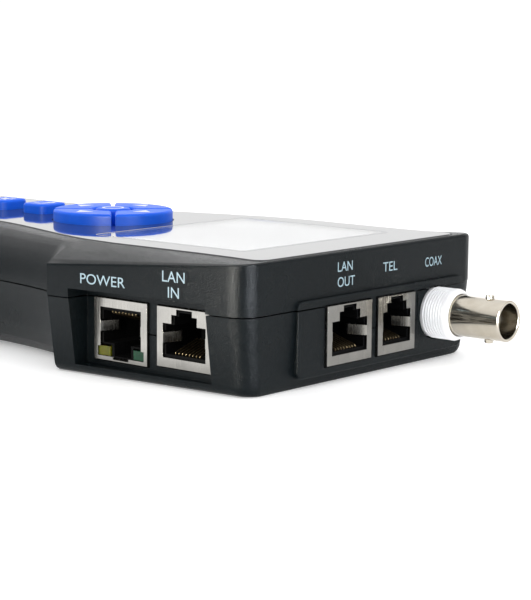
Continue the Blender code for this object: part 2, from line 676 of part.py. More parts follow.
def lower_housing():
    rings = [case_ring(lower_profile, level) for level in range(LOWER_LEVELS)]
    shell = make_object("lower_housing", rings_mesh(rings))
    cut(shell, case_cavity(lower_profile, LOWER_LEVELS), recess_block())
    join(shell, end_pad((0, PARTING_HEIGHT + 2 * TRIM)))
    join(shell, *screw_tools(BOSS_RADIUS, 1 * MM, PARTING_HEIGHT + 2 * TRIM))
    cut(shell, everything_between(PARTING_HEIGHT - GAP / 2, CASE_HEIGHT))
    cut(shell, *jack_holes(), *tongues(GAP))
    cut(shell, *screw_tools(SCREW_RADIUS + GAP, -1 * MM, PARTING_HEIGHT + 1 * MM))
    cut(shell, *screw_tools(SCREW_HEAD_RADIUS + GAP, -1 * MM, SCREW_RECESS + GAP))
    return cut(shell, door_opening(GAP, -1 * MM, WALL + 1 * MM))


# Front ---------------------------------------------------------------------------------------------


def key_holes(low, high):
    """Clearance tools for the direction pad and the function keys."""
    radius = DIRECTION_PAD_RADIUS + GAP
    profile = ((0, low), (radius, low), (radius, high), (0, high))
    holes = [turned(profile, (0, PAD_CENTRE_Y, 0), segments=2 * ROUND_SEGMENTS)]
    for _, y in function_key_places():
        size = [side + 2 * GAP for side in FUNCTION_KEY_SIZE]
        holes.append(prism(rounded_rectangle((0, y), size, FUNCTION_KEY_RADIUS + GAP), "Z", low, high))
    return holes


def function_key_places():
    rows = [PAD_CENTRE_Y - FIRST_ROW_OFFSET - row * ROW_PITCH for row in range(len(FUNCTION_KEYS))]
    return list(zip(FUNCTION_KEYS, rows))


def face_plate():
    rim = 0.2 * MM
    heights = ((PLATE_BOTTOM, 0), (PLATE_TOP - rim, 0), (PLATE_TOP, -rim))
    rings = [[(x, y, z) for x, y in plate_outline(offset)] for z, offset in heights]
    plate = make_object("face_plate", rings_mesh(rings), "plate")
    return cut(plate, *key_holes(PLATE_BOTTOM - 1 * MM, PLATE_TOP + 1 * MM))


def display_module():
    """The display in its tray: a glass on a frame with a ledge."""
    x, half = WINDOW_WIDTH / 2 + DISPLAY_BORDER, WINDOW_LENGTH / 2 + DISPLAY_BORDER
    top = SEAT_BOTTOM - GAP
    y_range = (WINDOW_Y - half, WINDOW_Y + half)
    frame = box((-x, x), y_range, (top - DISPLAY_THICKNESS, top), "display_module", "silver")
    clear = 1 * MM
    x, half = WINDOW_WIDTH / 2 - clear, WINDOW_LENGTH / 2 - clear
    raised = box((-x, x), (WINDOW_Y - half, WINDOW_Y + half), (top - clear, SEAT_TOP))
    return join(frame, raised)


def softened_key(name, outline, flange, height, middle):
    """A key cap with soft top edges on the flange that the case holds down, its origin on its axis."""
    top = PLATE_TOP + height
    rings = [[(a, b, FLANGE_BOTTOM) for a, b in flange], [(a, b, FLANGE_TOP) for a, b in flange]]
    rings.append([(a, b, FLANGE_TOP) for a, b in outline])
    for turn in range(EDGE_STEPS + 1):
        angle = math.pi / 2 * turn / EDGE_STEPS
        moved = offset_inwards(outline, KEY_EDGE * (1 - math.cos(angle)))
        rings.append([(a, b, top - KEY_EDGE * (1 - math.sin(angle))) for a, b in moved])
    return put_origin(make_object(name, rings_mesh(rings), "key"), (*middle, PLATE_TOP))


def sector(middle, inner, outer, spacing, steps=9):
    """A quarter of the direction pad's ring, with straight sides half a spacing off the diagonals."""

    def arc(radius):
        trim = math.asin(spacing / 2 / radius)
        low, high = middle - math.pi / 4 + trim, middle + math.pi / 4 - trim
        angles = [mix(low, high, i / steps) for i in range(steps + 1)]
        return [(radius * math.cos(a), PAD_CENTRE_Y + radius * math.sin(a)) for a in angles]

    return arc(outer) + arc(inner)[::-1]


def offset_inwards(outline, amount):
    """A closed outline moved in square to its sides; a negative amount moves it out."""
    moved = []
    count = len(outline)
    for i, here in enumerate(outline):
        here = Vector(here)
        before = (here - Vector(outline[i - 1])).normalized()
        after = (Vector(outline[(i + 1) % count]) - here).normalized()
        normal = Vector((-before.y - after.y, before.x + after.x)).normalized()
        moved.append(tuple(here + normal * amount / max(normal.dot(Vector((-before.y, before.x))), 0.5)))
    return moved


def direction_key(name, middle):
    inner = OK_RADIUS + KEY_SPACING
    outline = sector(middle, inner, DIRECTION_PAD_RADIUS, KEY_SPACING)
    flange = sector(middle, inner, DIRECTION_PAD_RADIUS + KEY_FLANGE_REACH, KEY_SPACING)
    out = (inner + DIRECTION_PAD_RADIUS) / 2
    centre = (out * math.cos(middle), PAD_CENTRE_Y + out * math.sin(middle))
    softened_key(name, outline, flange, DIRECTION_KEY_HEIGHT, centre)


def keys():
    for turn, name in enumerate(("key_right", "key_up", "key_left", "key_down")):
        direction_key(name, math.pi / 2 * turn)
    steps = [2 * math.pi * i / ROUND_SEGMENTS for i in range(ROUND_SEGMENTS)]
    circle = [(OK_RADIUS * math.cos(a), PAD_CENTRE_Y + OK_RADIUS * math.sin(a)) for a in steps]
    softened_key("key_ok", circle, circle, DIRECTION_KEY_HEIGHT + OK_KEY_RISE, (0, PAD_CENTRE_Y))
    for name, y in function_key_places():
        outline = rounded_rectangle((0, y), FUNCTION_KEY_SIZE, FUNCTION_KEY_RADIUS, 4)
        flange = grown(outline, (0, y), KEY_FLANGE_REACH)
        softened_key(name, outline, flange, FUNCTION_KEY_HEIGHT, (0, y))


def keypad_layers():
    """The rubber mat under the keys and the small board that carries it."""
    last = function_key_places()[-1][1] - FUNCTION_KEY_SIZE[1]
    y_range = (last, PAD_CENTRE_Y + DIRECTION_PAD_RADIUS + MAT_MARGIN)
    middle, length = sum(y_range) / 2, y_range[1] - y_range[0]
    width = 2 * DIRECTION_PAD_RADIUS + 2 * MAT_MARGIN
    outline = rounded_rectangle((0, middle), (width, length), MAT_RADIUS)
    prism(outline, "Z", MAT_TOP - MAT_THICKNESS, MAT_TOP, "keypad_mat", "key")
    board_top = MAT_TOP - MAT_THICKNESS - GAP
    prism(outline, "Z", board_top - BOARD_THICKNESS, board_top, "keypad_board", "board")


# Jacks ---------------------------------------------------------------------------------------------


def stepped(steps, low, widest):
    """A symmetric outline whose half width falls in steps, with the widest where a step names none."""
    right, bottom = [], low
    for half, top in steps:
        half = widest if half is None else half
        right += [(half, bottom), (half, top)]
        bottom = top
    return right + [(-a, b) for a, b in reversed(right)]


def flipped(outline, height, upside_down):
    return [(a, height - b) for a, b in outline] if upside_down else list(outline)


def in_millimetres(outline):
    return [(a * MM, b * MM) for a, b in outline]


def both_sides(near, far):
    """The two ranges that mirror each other about a jack's middle."""
    return (near, far), (-far, -near)


class Jack:
    """One shielded modular jack, drawn in its own frame and set in place as it is made."""

    def __init__(self, name, place, size, plug_width, front=PLAIN_FRONT, upside_down=False):
        self.name, self.place, self.front, self.upside_down = name, place, front, upside_down
        self.width, self.height = size
        self.plug = plug_width / 2
        self.opening = self.plug + PLUG_CLEARANCE
        heights = flipped([(0, z) for z in TAB_HEIGHTS], self.height, upside_down)
        self.tab_heights = sorted(z for _, z in heights)

    def drawn(self, outline, axis, low, high, **named):
        return prism(outline, axis, low, high, place=self.place, **named)

    def slab(self, x_range, y_range, z_range, **named):
        (x0, x1), (z0, z1) = x_range, z_range
        return self.drawn(((x0, z0), (x1, z0), (x1, z1), (x0, z1)), "Y", *y_range, **named)

    def window(self, steps, low, widest, y_range):
        """A stepped opening as a tool, turned over in a jack that is."""
        return self.drawn(flipped(stepped(steps, low, widest), self.height, self.upside_down), "Y", *y_range)

    def shield(self):
        """The folded metal can, open behind, with two spring tabs bent in at its opening."""
        outer, inside, height = self.width / 2, self.width / 2 - SHEET, self.height
        name = f"{self.name}_shield"
        can = self.slab((-outer, outer), (-JACK_DEPTH, 0), (0, height), name=name, slot="steel")
        cut(can, self.slab((-inside, inside), (-JACK_DEPTH - 1 * MM, -SHEET), (SHEET, height - SHEET)))
        steps, bottom = self.front.opening_steps, self.front.opening_bottom
        cut(can, self.window(steps, bottom, self.opening, (-1 * MM, 1 * MM)))
        for side in (1, -1):
            tab = [(side * (self.opening + a), b) for a, b in in_millimetres(TAB_OUTLINE)]
            join(can, self.drawn(tab, "Z", *self.tab_heights))

    def insert(self, lights):
        """The plastic body inside the can, with the plug's room and reliefs for the tabs and the lights."""
        reach = self.width / 2 - SHEET - GAP
        depths = (0.5 * MM - JACK_DEPTH, -SHEET - GAP)
        heights = (SHEET + GAP, self.height - SHEET - GAP)
        body = self.slab((-reach, reach), depths, heights, name=f"{self.name}_insert", slot="black")
        steps, bottom = self.front.room_steps, self.front.room_bottom
        cut(body, self.window(steps, bottom, self.plug, (-SOCKET_DEPTH, 1 * MM)))
        tab_low, tab_high = self.tab_heights
        for sides in both_sides(self.plug - 0.5 * MM, self.opening + 0.8 * MM):
            cut(body, self.slab(sides, (-TAB_REACH, 1 * MM), (tab_low - GAP, tab_high + GAP)))
        if lights:
            beside, above = LIGHT_ROOM
            room = (-1 * MM, LIGHT_HEIGHTS[1] + above)
            for sides in both_sides(LIGHT_SPAN[0] - beside, LIGHT_SPAN[1] + beside + 0.1 * MM):
                cut(body, self.slab(sides, (-LIGHT_DEPTH - 0.5 * MM, 1 * MM), room))

    def contacts(self, count):
        """The sprung wires side by side, joined by the bar they are moulded into."""
        span = (count - 1) * CONTACT_PITCH / 2 + CONTACT_WIDTH / 2
        bar = flipped(in_millimetres(BAR_OUTLINE), self.height, self.upside_down)
        wire = flipped(in_millimetres(WIRE_OUTLINE), self.height, self.upside_down)
        contact_set = self.drawn(bar, "X", -span, span, name=f"{self.name}_contacts", slot="gold")
        for i in range(count):
            middle = (i - (count - 1) / 2) * CONTACT_PITCH
            join(contact_set, self.drawn(wire, "X", middle - CONTACT_WIDTH / 2, middle + CONTACT_WIDTH / 2))

    def light(self, name, sides, slot):
        self.slab(sides, (-LIGHT_DEPTH, -SHEET - 0.1 * MM), LIGHT_HEIGHTS, name=name, slot=slot)


def make_jack(jack, contact_count, lights=False):
    jack.shield()
    jack.insert(lights)
    jack.contacts(contact_count)
    if lights:
        for colour, sides in zip(("yellow", "green"), both_sides(*LIGHT_SPAN)):
            jack.light(f"{colour}_light", sides, colour)


def jacks():
    def at_end(x):
        return Matrix.Translation((x, END_JACK_Y, JACK_SEAT_HEIGHT))

    def at_side(y, seat):
        return Matrix.Translation((SIDE_JACK_X, y, seat)) @ Matrix.Rotation(-math.pi / 2, 4, "Z")

    wide, small, lit = (RJ45_WIDTH, JACK_HEIGHT), (RJ11_WIDTH, JACK_HEIGHT), (POE_WIDTH, POE_HEIGHT)
    make_jack(Jack("main_jack", at_end(MAIN_JACK_X), wide, RJ45_PLUG_WIDTH), 8)
    make_jack(Jack("phone_jack", at_end(RJ11_JACK_X), small, RJ11_PLUG_WIDTH), 6)
    make_jack(Jack("scan_jack", at_side(SCAN_JACK_Y, JACK_SEAT_HEIGHT), wide, RJ45_PLUG_WIDTH), 8)
    place = at_side(POE_JACK_Y, POE_SEAT_HEIGHT)
    make_jack(Jack("poe_jack", place, lit, RJ45_PLUG_WIDTH, LIT_FRONT, upside_down=True), 8, lights=True)


# BNC -----------------------------------------------------------------------------------------------


def bnc_barrel(centre, bore):
    """The moulded collar, finely ribbed, that the connector's metal shell stands in."""
    outer = BNC_BARREL_RADIUS
    start, end = PAD_PROUD + 0.5 * MM, BNC_BARREL_LENGTH - 1.2 * MM
    pitch = (end - start) / BNC_RIBS
    profile = [(bore, -BNC_INSIDE), (outer, -BNC_INSIDE), (outer, start)]
    for rib in range(BNC_RIBS):
        low = start + rib * pitch
        profile += [(outer - BNC_RIB_DEPTH, low + pitch / 4), (outer, low + pitch / 2), (outer, low + pitch)]
    profile += [(outer - 0.7 * MM, BNC_BARREL_LENGTH - 0.2 * MM), (outer - 0.95 * MM, BNC_BARREL_LENGTH)]
    turned(profile + [(bore, BNC_BARREL_LENGTH)], centre, "Y", "bnc_barrel", "white")


def bnc_shell(centre):
    """The metal tube with its two bayonet lugs, one above and one below."""
    rim = BNC_SHELL_RIM
    bore, outer = BNC_BORE_RADIUS, BNC_SHELL_RADIUS
    tube = [(bore, -BNC_INSIDE), (outer, -BNC_INSIDE), (outer, BNC_REACH - rim)]
    tube += [(outer - rim, BNC_REACH), (bore + rim, BNC_REACH), (bore, BNC_REACH - rim)]
    shell = turned(tube, centre, "Y", "bnc_shell", "steel")
    root, top, edge = outer - 0.4 * MM, outer + BNC_LUG_HEIGHT, 0.15 * MM
    lug = [(0, root), (BNC_LUG_RADIUS, root), (BNC_LUG_RADIUS, top - edge)]
    lug += [(BNC_LUG_RADIUS - edge, top), (0, top)]
    place = (BNC_X, END_Y + BNC_REACH - BNC_LUG_FROM_TIP, BNC_AXIS_HEIGHT)
    for side in (1, -1):
        join(shell, turned([(radius, side * along) for radius, along in lug], place, segments=12))


def bnc():
    centre = (BNC_X, END_Y, BNC_AXIS_HEIGHT)
    bnc_barrel(centre, BNC_SHELL_RADIUS + GAP)
    bnc_shell(centre)
    front, neck = BNC_REACH - BNC_MOUTH_DEPTH, BNC_REACH - BNC_MOUTH_DEPTH - BNC_NECK_LENGTH
    bore, pin = BNC_PIN_RADIUS + GAP, BNC_PIN_RADIUS
    bead = [(bore, -BNC_INSIDE), (BNC_BORE_RADIUS - GAP, -BNC_INSIDE), (BNC_BORE_RADIUS - GAP, neck)]
    bead += [(BNC_NECK_RADIUS, neck), (BNC_NECK_RADIUS, front), (bore, front)]
    turned(bead, centre, "Y", "bnc_insulator", "white", 24)
    back, tip = -BNC_INSIDE - 2 * MM, front - 0.4 * MM
    turned([(0, back), (pin, back), (pin, tip), (0, tip)], centre, "Y", "bnc_contact", "gold", 12)


# Inside and underside ------------------------------------------------------------------------------


def main_board():
    """The board under the head, with its corners cut back past the screw bosses."""
    half = HEAD_END_WIDTH / 2 - BOARD_SIDE_INSET
    along = (END_Y - HEAD_LENGTH + BOARD_BACK_INSET, END_Y - BOARD_FRONT_INSET)
    heights = (MAIN_BOARD_BOTTOM, MAIN_BOARD_BOTTOM + BOARD_THICKNESS)
    board = box((-half, half), along, heights, "main_board", "board")
    radius, tall = BOSS_RADIUS + 2 * GAP, MAIN_BOARD_BOTTOM + TOOL_REACH
    profile = ((0, 0), (radius, 0), (radius, tall), (0, tall))
    notches = [turned(profile, (x, y, 0), segments=SMALL_ROUND_SEGMENTS) for x, y in SCREW_PLACES[:4]]
    reach = POE_WIDTH / 2 + GAP
    sunk_jack = ((SIDE_JACK_X - JACK_DEPTH - GAP, SIDE_JACK_X), (POE_JACK_Y - reach, POE_JACK_Y + reach))
    cut(board, *notches, box(*sunk_jack, (0, tall)))


def battery():
    """The door in the underside and the wrapped cells above it."""
    door = door_opening(0, GAP, GAP + DOOR_THICKNESS)
    door.name = "battery_door"
    put_origin(door, (0, DOOR_Y, GAP))
    low = GAP + DOOR_THICKNESS + GAP
    centre, size = (0, low + BATTERY_THICKNESS / 2), (BATTERY_WIDTH, BATTERY_THICKNESS)
    outline = rounded_rectangle(centre, size, BATTERY_EDGE_RADIUS, 4)
    prism(outline, "Y", DOOR_Y - BATTERY_LENGTH / 2, DOOR_Y + BATTERY_LENGTH / 2, "battery_pack", "silver")


def buzzer():
    """A round buzzer on the board, with its sound hole on top."""
    low = MAIN_BOARD_BOTTOM + BOARD_THICKNESS + GAP
    high = low + BUZZER_HEIGHT
    edge, hole = 0.5 * MM, 1 * MM
    profile = [(0, low), (BUZZER_RADIUS, low), (BUZZER_RADIUS, high - edge), (BUZZER_RADIUS - edge, high)]
    profile += [(hole, high), (hole, high - hole), (0, high - hole)]
    centre = (-HEAD_END_WIDTH / 4, END_Y - HEAD_LENGTH / 2, 0)
    turned(profile, centre, "Z", "buzzer", "black", 24)


def screws():
    """Pan-head screws up through the lower shell, each with a drive hollow in its head."""
    low = SCREW_RECESS - SCREW_HEAD_HEIGHT
    tip, edge = SCREW_RECESS + SCREW_LENGTH, 0.4 * MM
    socket_radius, socket_depth = SCREW_SOCKET
    profile = [(0, low + socket_depth), (0.8 * socket_radius, low + 0.8 * socket_depth), (socket_radius, low)]
    head = SCREW_HEAD_RADIUS
    profile += [(head - edge, low), (head, low + edge), (head, SCREW_RECESS)]
    profile += [(SCREW_RADIUS, SCREW_RECESS), (SCREW_RADIUS, tip - 1 * MM), (0, tip)]
    for number, (x, y) in enumerate(SCREW_PLACES, 1):
        turned(profile, (x, y, 0), "Z", f"case_screw_{number}", "steel", SMALL_ROUND_SEGMENTS)


def shade(made):
    """Smooth shading with crisp edges."""
    made.data.shade_smooth()
    made.data.set_sharp_from_angle(angle=math.radians(35))


def main():
    clear_scene()
    upper_housing()
    lower_housing()
    face_plate()
    display_module()
    keys()
    keypad_layers()
    jacks()
    bnc()
    main_board()
    battery()
    buzzer()
    screws()
    for made in bpy.context.scene.objects:
        shade(made)


main()
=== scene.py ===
"""The looks of a handheld network cable tester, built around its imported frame.

It has grained shells, a glossy plate with a display behind its window, blue rubber keys, shielded jacks and a
bayonet connector, and it lies on a pale studio floor.

The tester lies on its back: +Z is out of its face, +Y towards the connector end, +X towards the two side jacks.
"""

import json
import math

import bmesh
import bpy
from mathutils import Matrix, Vector
from mathutils.bvhtree import BVHTree


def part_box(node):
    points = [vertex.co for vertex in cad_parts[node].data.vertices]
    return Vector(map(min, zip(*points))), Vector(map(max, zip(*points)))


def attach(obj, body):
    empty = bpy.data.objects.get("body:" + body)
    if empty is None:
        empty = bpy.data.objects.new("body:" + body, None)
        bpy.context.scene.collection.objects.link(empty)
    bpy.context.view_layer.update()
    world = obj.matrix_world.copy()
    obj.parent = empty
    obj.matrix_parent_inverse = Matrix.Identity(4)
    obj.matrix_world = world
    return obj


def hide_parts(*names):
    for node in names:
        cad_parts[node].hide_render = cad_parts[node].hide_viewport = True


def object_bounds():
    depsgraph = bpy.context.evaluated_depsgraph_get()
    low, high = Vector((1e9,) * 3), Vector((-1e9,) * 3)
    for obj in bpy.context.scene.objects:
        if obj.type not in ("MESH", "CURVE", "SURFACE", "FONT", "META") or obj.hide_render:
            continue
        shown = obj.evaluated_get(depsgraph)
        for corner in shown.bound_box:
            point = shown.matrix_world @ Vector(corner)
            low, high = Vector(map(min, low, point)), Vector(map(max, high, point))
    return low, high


MM = 0.001
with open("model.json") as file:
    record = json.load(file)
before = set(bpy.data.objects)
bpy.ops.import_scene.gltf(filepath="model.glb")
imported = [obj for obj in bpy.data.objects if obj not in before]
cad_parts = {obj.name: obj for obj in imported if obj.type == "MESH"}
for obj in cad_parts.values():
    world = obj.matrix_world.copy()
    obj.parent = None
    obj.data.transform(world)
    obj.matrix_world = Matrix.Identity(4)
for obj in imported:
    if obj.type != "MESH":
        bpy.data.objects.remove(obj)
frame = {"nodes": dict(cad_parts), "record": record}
cad_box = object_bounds()

DIRECTION_KEYS = ("key_right", "key_up", "key_left", "key_down")
FUNCTION_KEYS = ("key_back", "key_light", "key_power")
SCREWS = [f"case_screw_{number}" for number in range(1, 7)]
INK_LIFT = 0.03 * MM  # how far printing stands off the surface under it
HEAD_LEAN = 4 / 55.5  # how far the head's side leans out along its length

# Battery door
GRIP_RIBS = 5
GRIP_RIB_PITCH = 2.2 * MM
GRIP_RIB_THICKNESS = 0.9 * MM
GRIP_RIB_LENGTH = 16 * MM  # the middle one's

# Window in the face plate
WINDOW_INSET = 3.5 * MM  # the display's edge, past the window's
WINDOW_RADIUS = 1.2 * MM
GLASS_GAP = 0.02 * MM
FRAME_LINE = 0.45 * MM
FRAME_LINE_MARGIN = 1.2 * MM  # from the window to the line's outer edge
TRAY_EDGE = 4.5 * MM  # the display's dead border
CELL_PITCH = 0.36 * MM

# Jacks, in each jack's own frame: X along its width, Y out of its front, Z up from its seat
CONTACT_COUNTS = {"main_jack": 8, "phone_jack": 6, "scan_jack": 8, "poe_jack": 8}
CONTACT_PITCH = 1.02 * MM
WIRE_RADIUS = 0.2 * MM
WIRE_PATH = ((-11.3, 2.72), (-1.7, 2.72), (-1.35, 2.85), (-1.25, 3.1), (-1.5, 3.3), (-8.4, 5.5))

# Bayonet connector
RIB_COUNT = 7
RIB_RADIUS = 0.22 * MM
RIM_RISE = 0.25 * MM  # how far the barrel's rim stands over its ribbed skin

# Screws, as far as their heads hide it in the frame
SCREW_HEAD_HEIGHT = 1.8 * MM
SCREW_SHANK_RADIUS = 1.25 * MM
SCREW_SLOT = 0.75 * MM

# Words on the walls: (name, text, node under it, nudge along the wall, height, letter height, width share)
END_WORDS = (
    ("label_main_1", "LAN", "main_jack_shield", -0.4 * MM, 24.6 * MM, 2.2 * MM, 0.95),
    ("label_main_2", "OUT", "main_jack_shield", 0.0, 21.2 * MM, 2.2 * MM, 0.95),
    ("label_phone", "TEL", "phone_jack_shield", -1.2 * MM, 23.0 * MM, 2.2 * MM, 1.1),
    ("label_coax", "COAX", "bnc_barrel", -0.4 * MM, 22.6 * MM, 2.2 * MM, 0.75),
)
SIDE_WORDS = (
    ("label_scan_1", "LAN", "scan_jack_shield", 0.0, 23.7 * MM, 2.4 * MM, 1.0),
    ("label_scan_2", "IN", "scan_jack_shield", 0.0, 20.3 * MM, 2.4 * MM, 1.0),
    ("label_power", "POWER", "poe_jack_shield", -0.8 * MM, 21.2 * MM, 2.3 * MM, 1.15),
)

# Studio
BACKDROP_AZIMUTH = -140  # the bright backdrop, seen past the grip
STRIP_DISTANCE = 0.1
STRIP_HEIGHT = 0.1
CAMERA_PLACE = (0.33889, 0.33868, 0.08054)
CAMERA_ANGLES = (-140.37, -9.07, 0.605)  # yaw, pitch and roll, in degrees


# Node helpers -----------------------------------------------------------------------------------------


def add(tree, kind, inputs=None, **settings):
    """A node with its settings made and its inputs set or linked."""
    node = tree.nodes.new(kind)
    for key, value in settings.items():
        setattr(node, key, value)
    for key, value in (inputs or {}).items():
        if isinstance(value, bpy.types.NodeSocket):
            tree.links.new(value, node.inputs[key])
        else:
            node.inputs[key].default_value = value
    return node


def maths(tree, operation, a, b=0.0):
    return add(tree, "ShaderNodeMath", {0: a, 1: b}, operation=operation).outputs[0]


def ramp(tree, value, low, high, to_low=0.0, to_high=1.0):
    """A value carried from one range to another, held at both ends."""
    node = add(tree, "ShaderNodeMapRange", {"Value": value}, clamp=True)
    node.inputs["From Min"].default_value = low
    node.inputs["From Max"].default_value = high
    node.inputs["To Min"].default_value = to_low
    node.inputs["To Max"].default_value = to_high
    return node.outputs["Result"]


def blend_colours(tree, share, first, second):
    node = add(tree, "ShaderNodeMix", data_type="RGBA")
    for socket, value in ((0, share), (6, first), (7, second)):
        if isinstance(value, bpy.types.NodeSocket):
            tree.links.new(value, node.inputs[socket])
        elif socket:
            node.inputs[socket].default_value = (*value, 1)
        else:
            node.inputs[socket].default_value = value
    return node.outputs[2]


def shader_group(name, inputs, outputs):
    """An empty node group with named number sockets, and its two end nodes."""
    tree = bpy.data.node_groups.new(name, "ShaderNodeTree")
    for label, value in inputs:
        socket = tree.interface.new_socket(label, in_out="INPUT", socket_type="NodeSocketFloat")
        socket.default_value = value
    for label in outputs:
        tree.interface.new_socket(label, in_out="OUTPUT", socket_type="NodeSocketFloat")
    return tree, tree.nodes.new("NodeGroupInput"), tree.nodes.new("NodeGroupOutput")


def noise(tree, where, scale, detail=2.0, roughness=0.5):
    inputs = {"Vector": where, "Scale": scale, "Detail": detail, "Roughness": roughness}
    return add(tree, "ShaderNodeTexNoise", inputs).outputs["Fac"]


def make_grain_group():
    """Spark-eroded mould grain: small pits on a finer noise, as a height and as a mask of the high spots."""
    tree, start, end = shader_group("mould_grain", (("Size", 0.3 * MM), ("Depth", 1.0)), ("Height", "Peaks"))
    where = add(tree, "ShaderNodeTexCoord").outputs["Object"]
    scale = maths(tree, "DIVIDE", 1.0, start.outputs["Size"])
    coarse = noise(tree, where, scale, 3.0, 0.62)
    pits = add(tree, "ShaderNodeTexVoronoi", {"Vector": where, "Scale": scale}, feature="F1").outputs["Distance"]
    height = maths(tree, "ADD", maths(tree, "MULTIPLY", coarse, 0.7), maths(tree, "MULTIPLY", pits, 0.45))
    tree.links.new(maths(tree, "MULTIPLY", height, start.outputs["Depth"]), end.inputs["Height"])
    tree.links.new(ramp(tree, height, 0.55, 0.75), end.inputs["Peaks"])
    return tree


def make_handling_group():
    """Broad cloudy marks and sparse fine specks, from hands and dust."""
    tree, start, end = shader_group("handling", (("Cloud Size", 25 * MM), ("Specks", 0.5)), ("Clouds", "Dust"))
    where = add(tree, "ShaderNodeTexCoord").outputs["Object"]
    clouds = noise(tree, where, maths(tree, "DIVIDE", 1.0, start.outputs["Cloud Size"]), 4.0, 0.6)
    tree.links.new(ramp(tree, clouds, 0.35, 0.7), end.inputs["Clouds"])
    specks = noise(tree, where, 2600.0, 1.0, 0.4)
    dust = ramp(tree, specks, 0.72, 0.78)
    tree.links.new(maths(tree, "MULTIPLY", dust, start.outputs["Specks"]), end.inputs["Dust"])
    return tree


def make_drawn_metal_group():
    """Fine lines left by drawing or rolling, along one axis, with a slow change of tone across the sheet."""
    tree, start, end = shader_group("drawn_metal", (("Line Scale", 3000.0), ("Across", 0.0)), ("Lines", "Tone"))
    where = add(tree, "ShaderNodeTexCoord").outputs["Object"]
    along = add(tree, "ShaderNodeCombineXYZ", {0: 1.0, 1: 0.04, 2: 1.0}).outputs[0]
    upright = add(tree, "ShaderNodeCombineXYZ", {0: 1.0, 1: 1.0, 2: 0.04}).outputs[0]
    mix = add(tree, "ShaderNodeMix", data_type="VECTOR")
    tree.links.new(start.outputs["Across"], mix.inputs[0])
    tree.links.new(along, mix.inputs[4])
    tree.links.new(upright, mix.inputs[5])
    stretched = add(tree, "ShaderNodeVectorMath", {0: where, 1: mix.outputs[1]}, operation="MULTIPLY").outputs[0]
    tree.links.new(noise(tree, stretched, start.outputs["Line Scale"], 3.0, 0.6), end.inputs["Lines"])
    tree.links.new(noise(tree, where, 160.0, 3.0, 0.55), end.inputs["Tone"])
    return tree


GRAIN = make_grain_group()
HANDLING = make_handling_group()
DRAWN_METAL = make_drawn_metal_group()


def placed_group(tree, group, **inputs):
    node = tree.nodes.new("ShaderNodeGroup")
    node.node_tree = group
    for label, value in inputs.items():
        node.inputs[label.replace("_", " ")].default_value = value
    return node.outputs


def new_finish(name, colour, roughness, metallic=0.0, **sockets):
    """A material with its Principled shader's own sockets set."""
    made = bpy.data.materials.new(name)
    made.use_nodes = True
    shader = made.node_tree.nodes["Principled BSDF"]
    shader.inputs["Base Color"].default_value = (*colour, 1)
    shader.inputs["Roughness"].default_value = roughness
    shader.inputs["Metallic"].default_value = metallic
    for label, value in sockets.items():
        shader.inputs[label.replace("_", " ")].default_value = value
    made.diffuse_color = (*colour, 1)
    return made, made.node_tree, shader


def bump(tree, shader, height, distance):
    node = add(tree, "ShaderNodeBump", {"Height": height, "Distance": distance, "Strength": 1.0})
    tree.links.new(node.outputs["Normal"], shader.inputs["Normal"])


# Finishes ---------------------------------------------------------------------------------------------


def moulded_plastic(name, colour, roughness, grain_size, depth, lift=1.5, **sockets):
    """Injection-moulded plastic: grain, lighter high spots, and cloudy handling marks in the gloss."""
    made, tree, shader = new_finish(name, colour, roughness, **sockets)
    grain = placed_group(tree, GRAIN, Size=grain_size, Depth=1.0)
    marks = placed_group(tree, HANDLING, Cloud_Size=28 * MM, Specks=0.35)
    high = [min(channel * lift + 0.001, 1) for channel in colour]
    body = blend_colours(tree, grain["Peaks"], colour, high)
    dusty = blend_colours(tree, marks["Dust"], body, [min(channel * lift + 0.012, 1) for channel in colour])
    tree.links.new(dusty, shader.inputs["Base Color"])
    gloss = ramp(tree, marks["Clouds"], 0, 1, roughness - 0.03, roughness + 0.06)
    tree.links.new(gloss, shader.inputs["Roughness"])
    bump(tree, shader, grain["Height"], depth)
    return made


def case_finish():
    return moulded_plastic("case_grain", (0.0038, 0.0062, 0.0075), 0.24, 0.24 * MM, 0.1 * MM, 1.6, IOR=1.18)


def key_finish():
    """Silicone rubber, dyed through, with a soft skin that takes the light at its edges."""
    made, tree, shader = new_finish("key_silicone", (0.002, 0.12, 0.85), 0.46, IOR=1.25)
    shader.inputs["Sheen Weight"].default_value = 0.06
    shader.inputs["Subsurface Weight"].default_value = 0.1
    shader.inputs["Subsurface Radius"].default_value = (0.3, 0.5, 1.0)
    shader.inputs["Subsurface Scale"].default_value = 0.6 * MM
    grain = placed_group(tree, GRAIN, Size=0.16 * MM, Depth=1.0)
    marks = placed_group(tree, HANDLING, Cloud_Size=7 * MM, Specks=0.3)
    colour = blend_colours(tree, marks["Clouds"], (0.001, 0.115, 0.82), (0.002, 0.135, 0.92))
    colour = blend_colours(tree, marks["Dust"], colour, (0.1, 0.2, 0.65))
    tree.links.new(colour, shader.inputs["Base Color"])
    tree.links.new(ramp(tree, marks["Clouds"], 0, 1, 0.4, 0.52), shader.inputs["Roughness"])
    bump(tree, shader, grain["Height"], 0.012 * MM)
    return made


def plate_finish():
    """Polished dark acrylic with a faint orange peel and a few specks of dust."""
    made, tree, shader = new_finish("plate_acrylic", (0.03, 0.031, 0.035), 0.04, IOR=1.6)
    marks = placed_group(tree, HANDLING, Cloud_Size=30 * MM, Specks=0.5)
    colour = blend_colours(tree, marks["Dust"], (0.03, 0.031, 0.035), (0.1, 0.1, 0.105))
    tree.links.new(colour, shader.inputs["Base Color"])
    tree.links.new(ramp(tree, marks["Clouds"], 0, 1, 0.03, 0.07), shader.inputs["Roughness"])
    where = add(tree, "ShaderNodeTexCoord").outputs["Object"]
    bump(tree, shader, noise(tree, where, 180.0, 2.0, 0.5), 0.002 * MM)
    return made


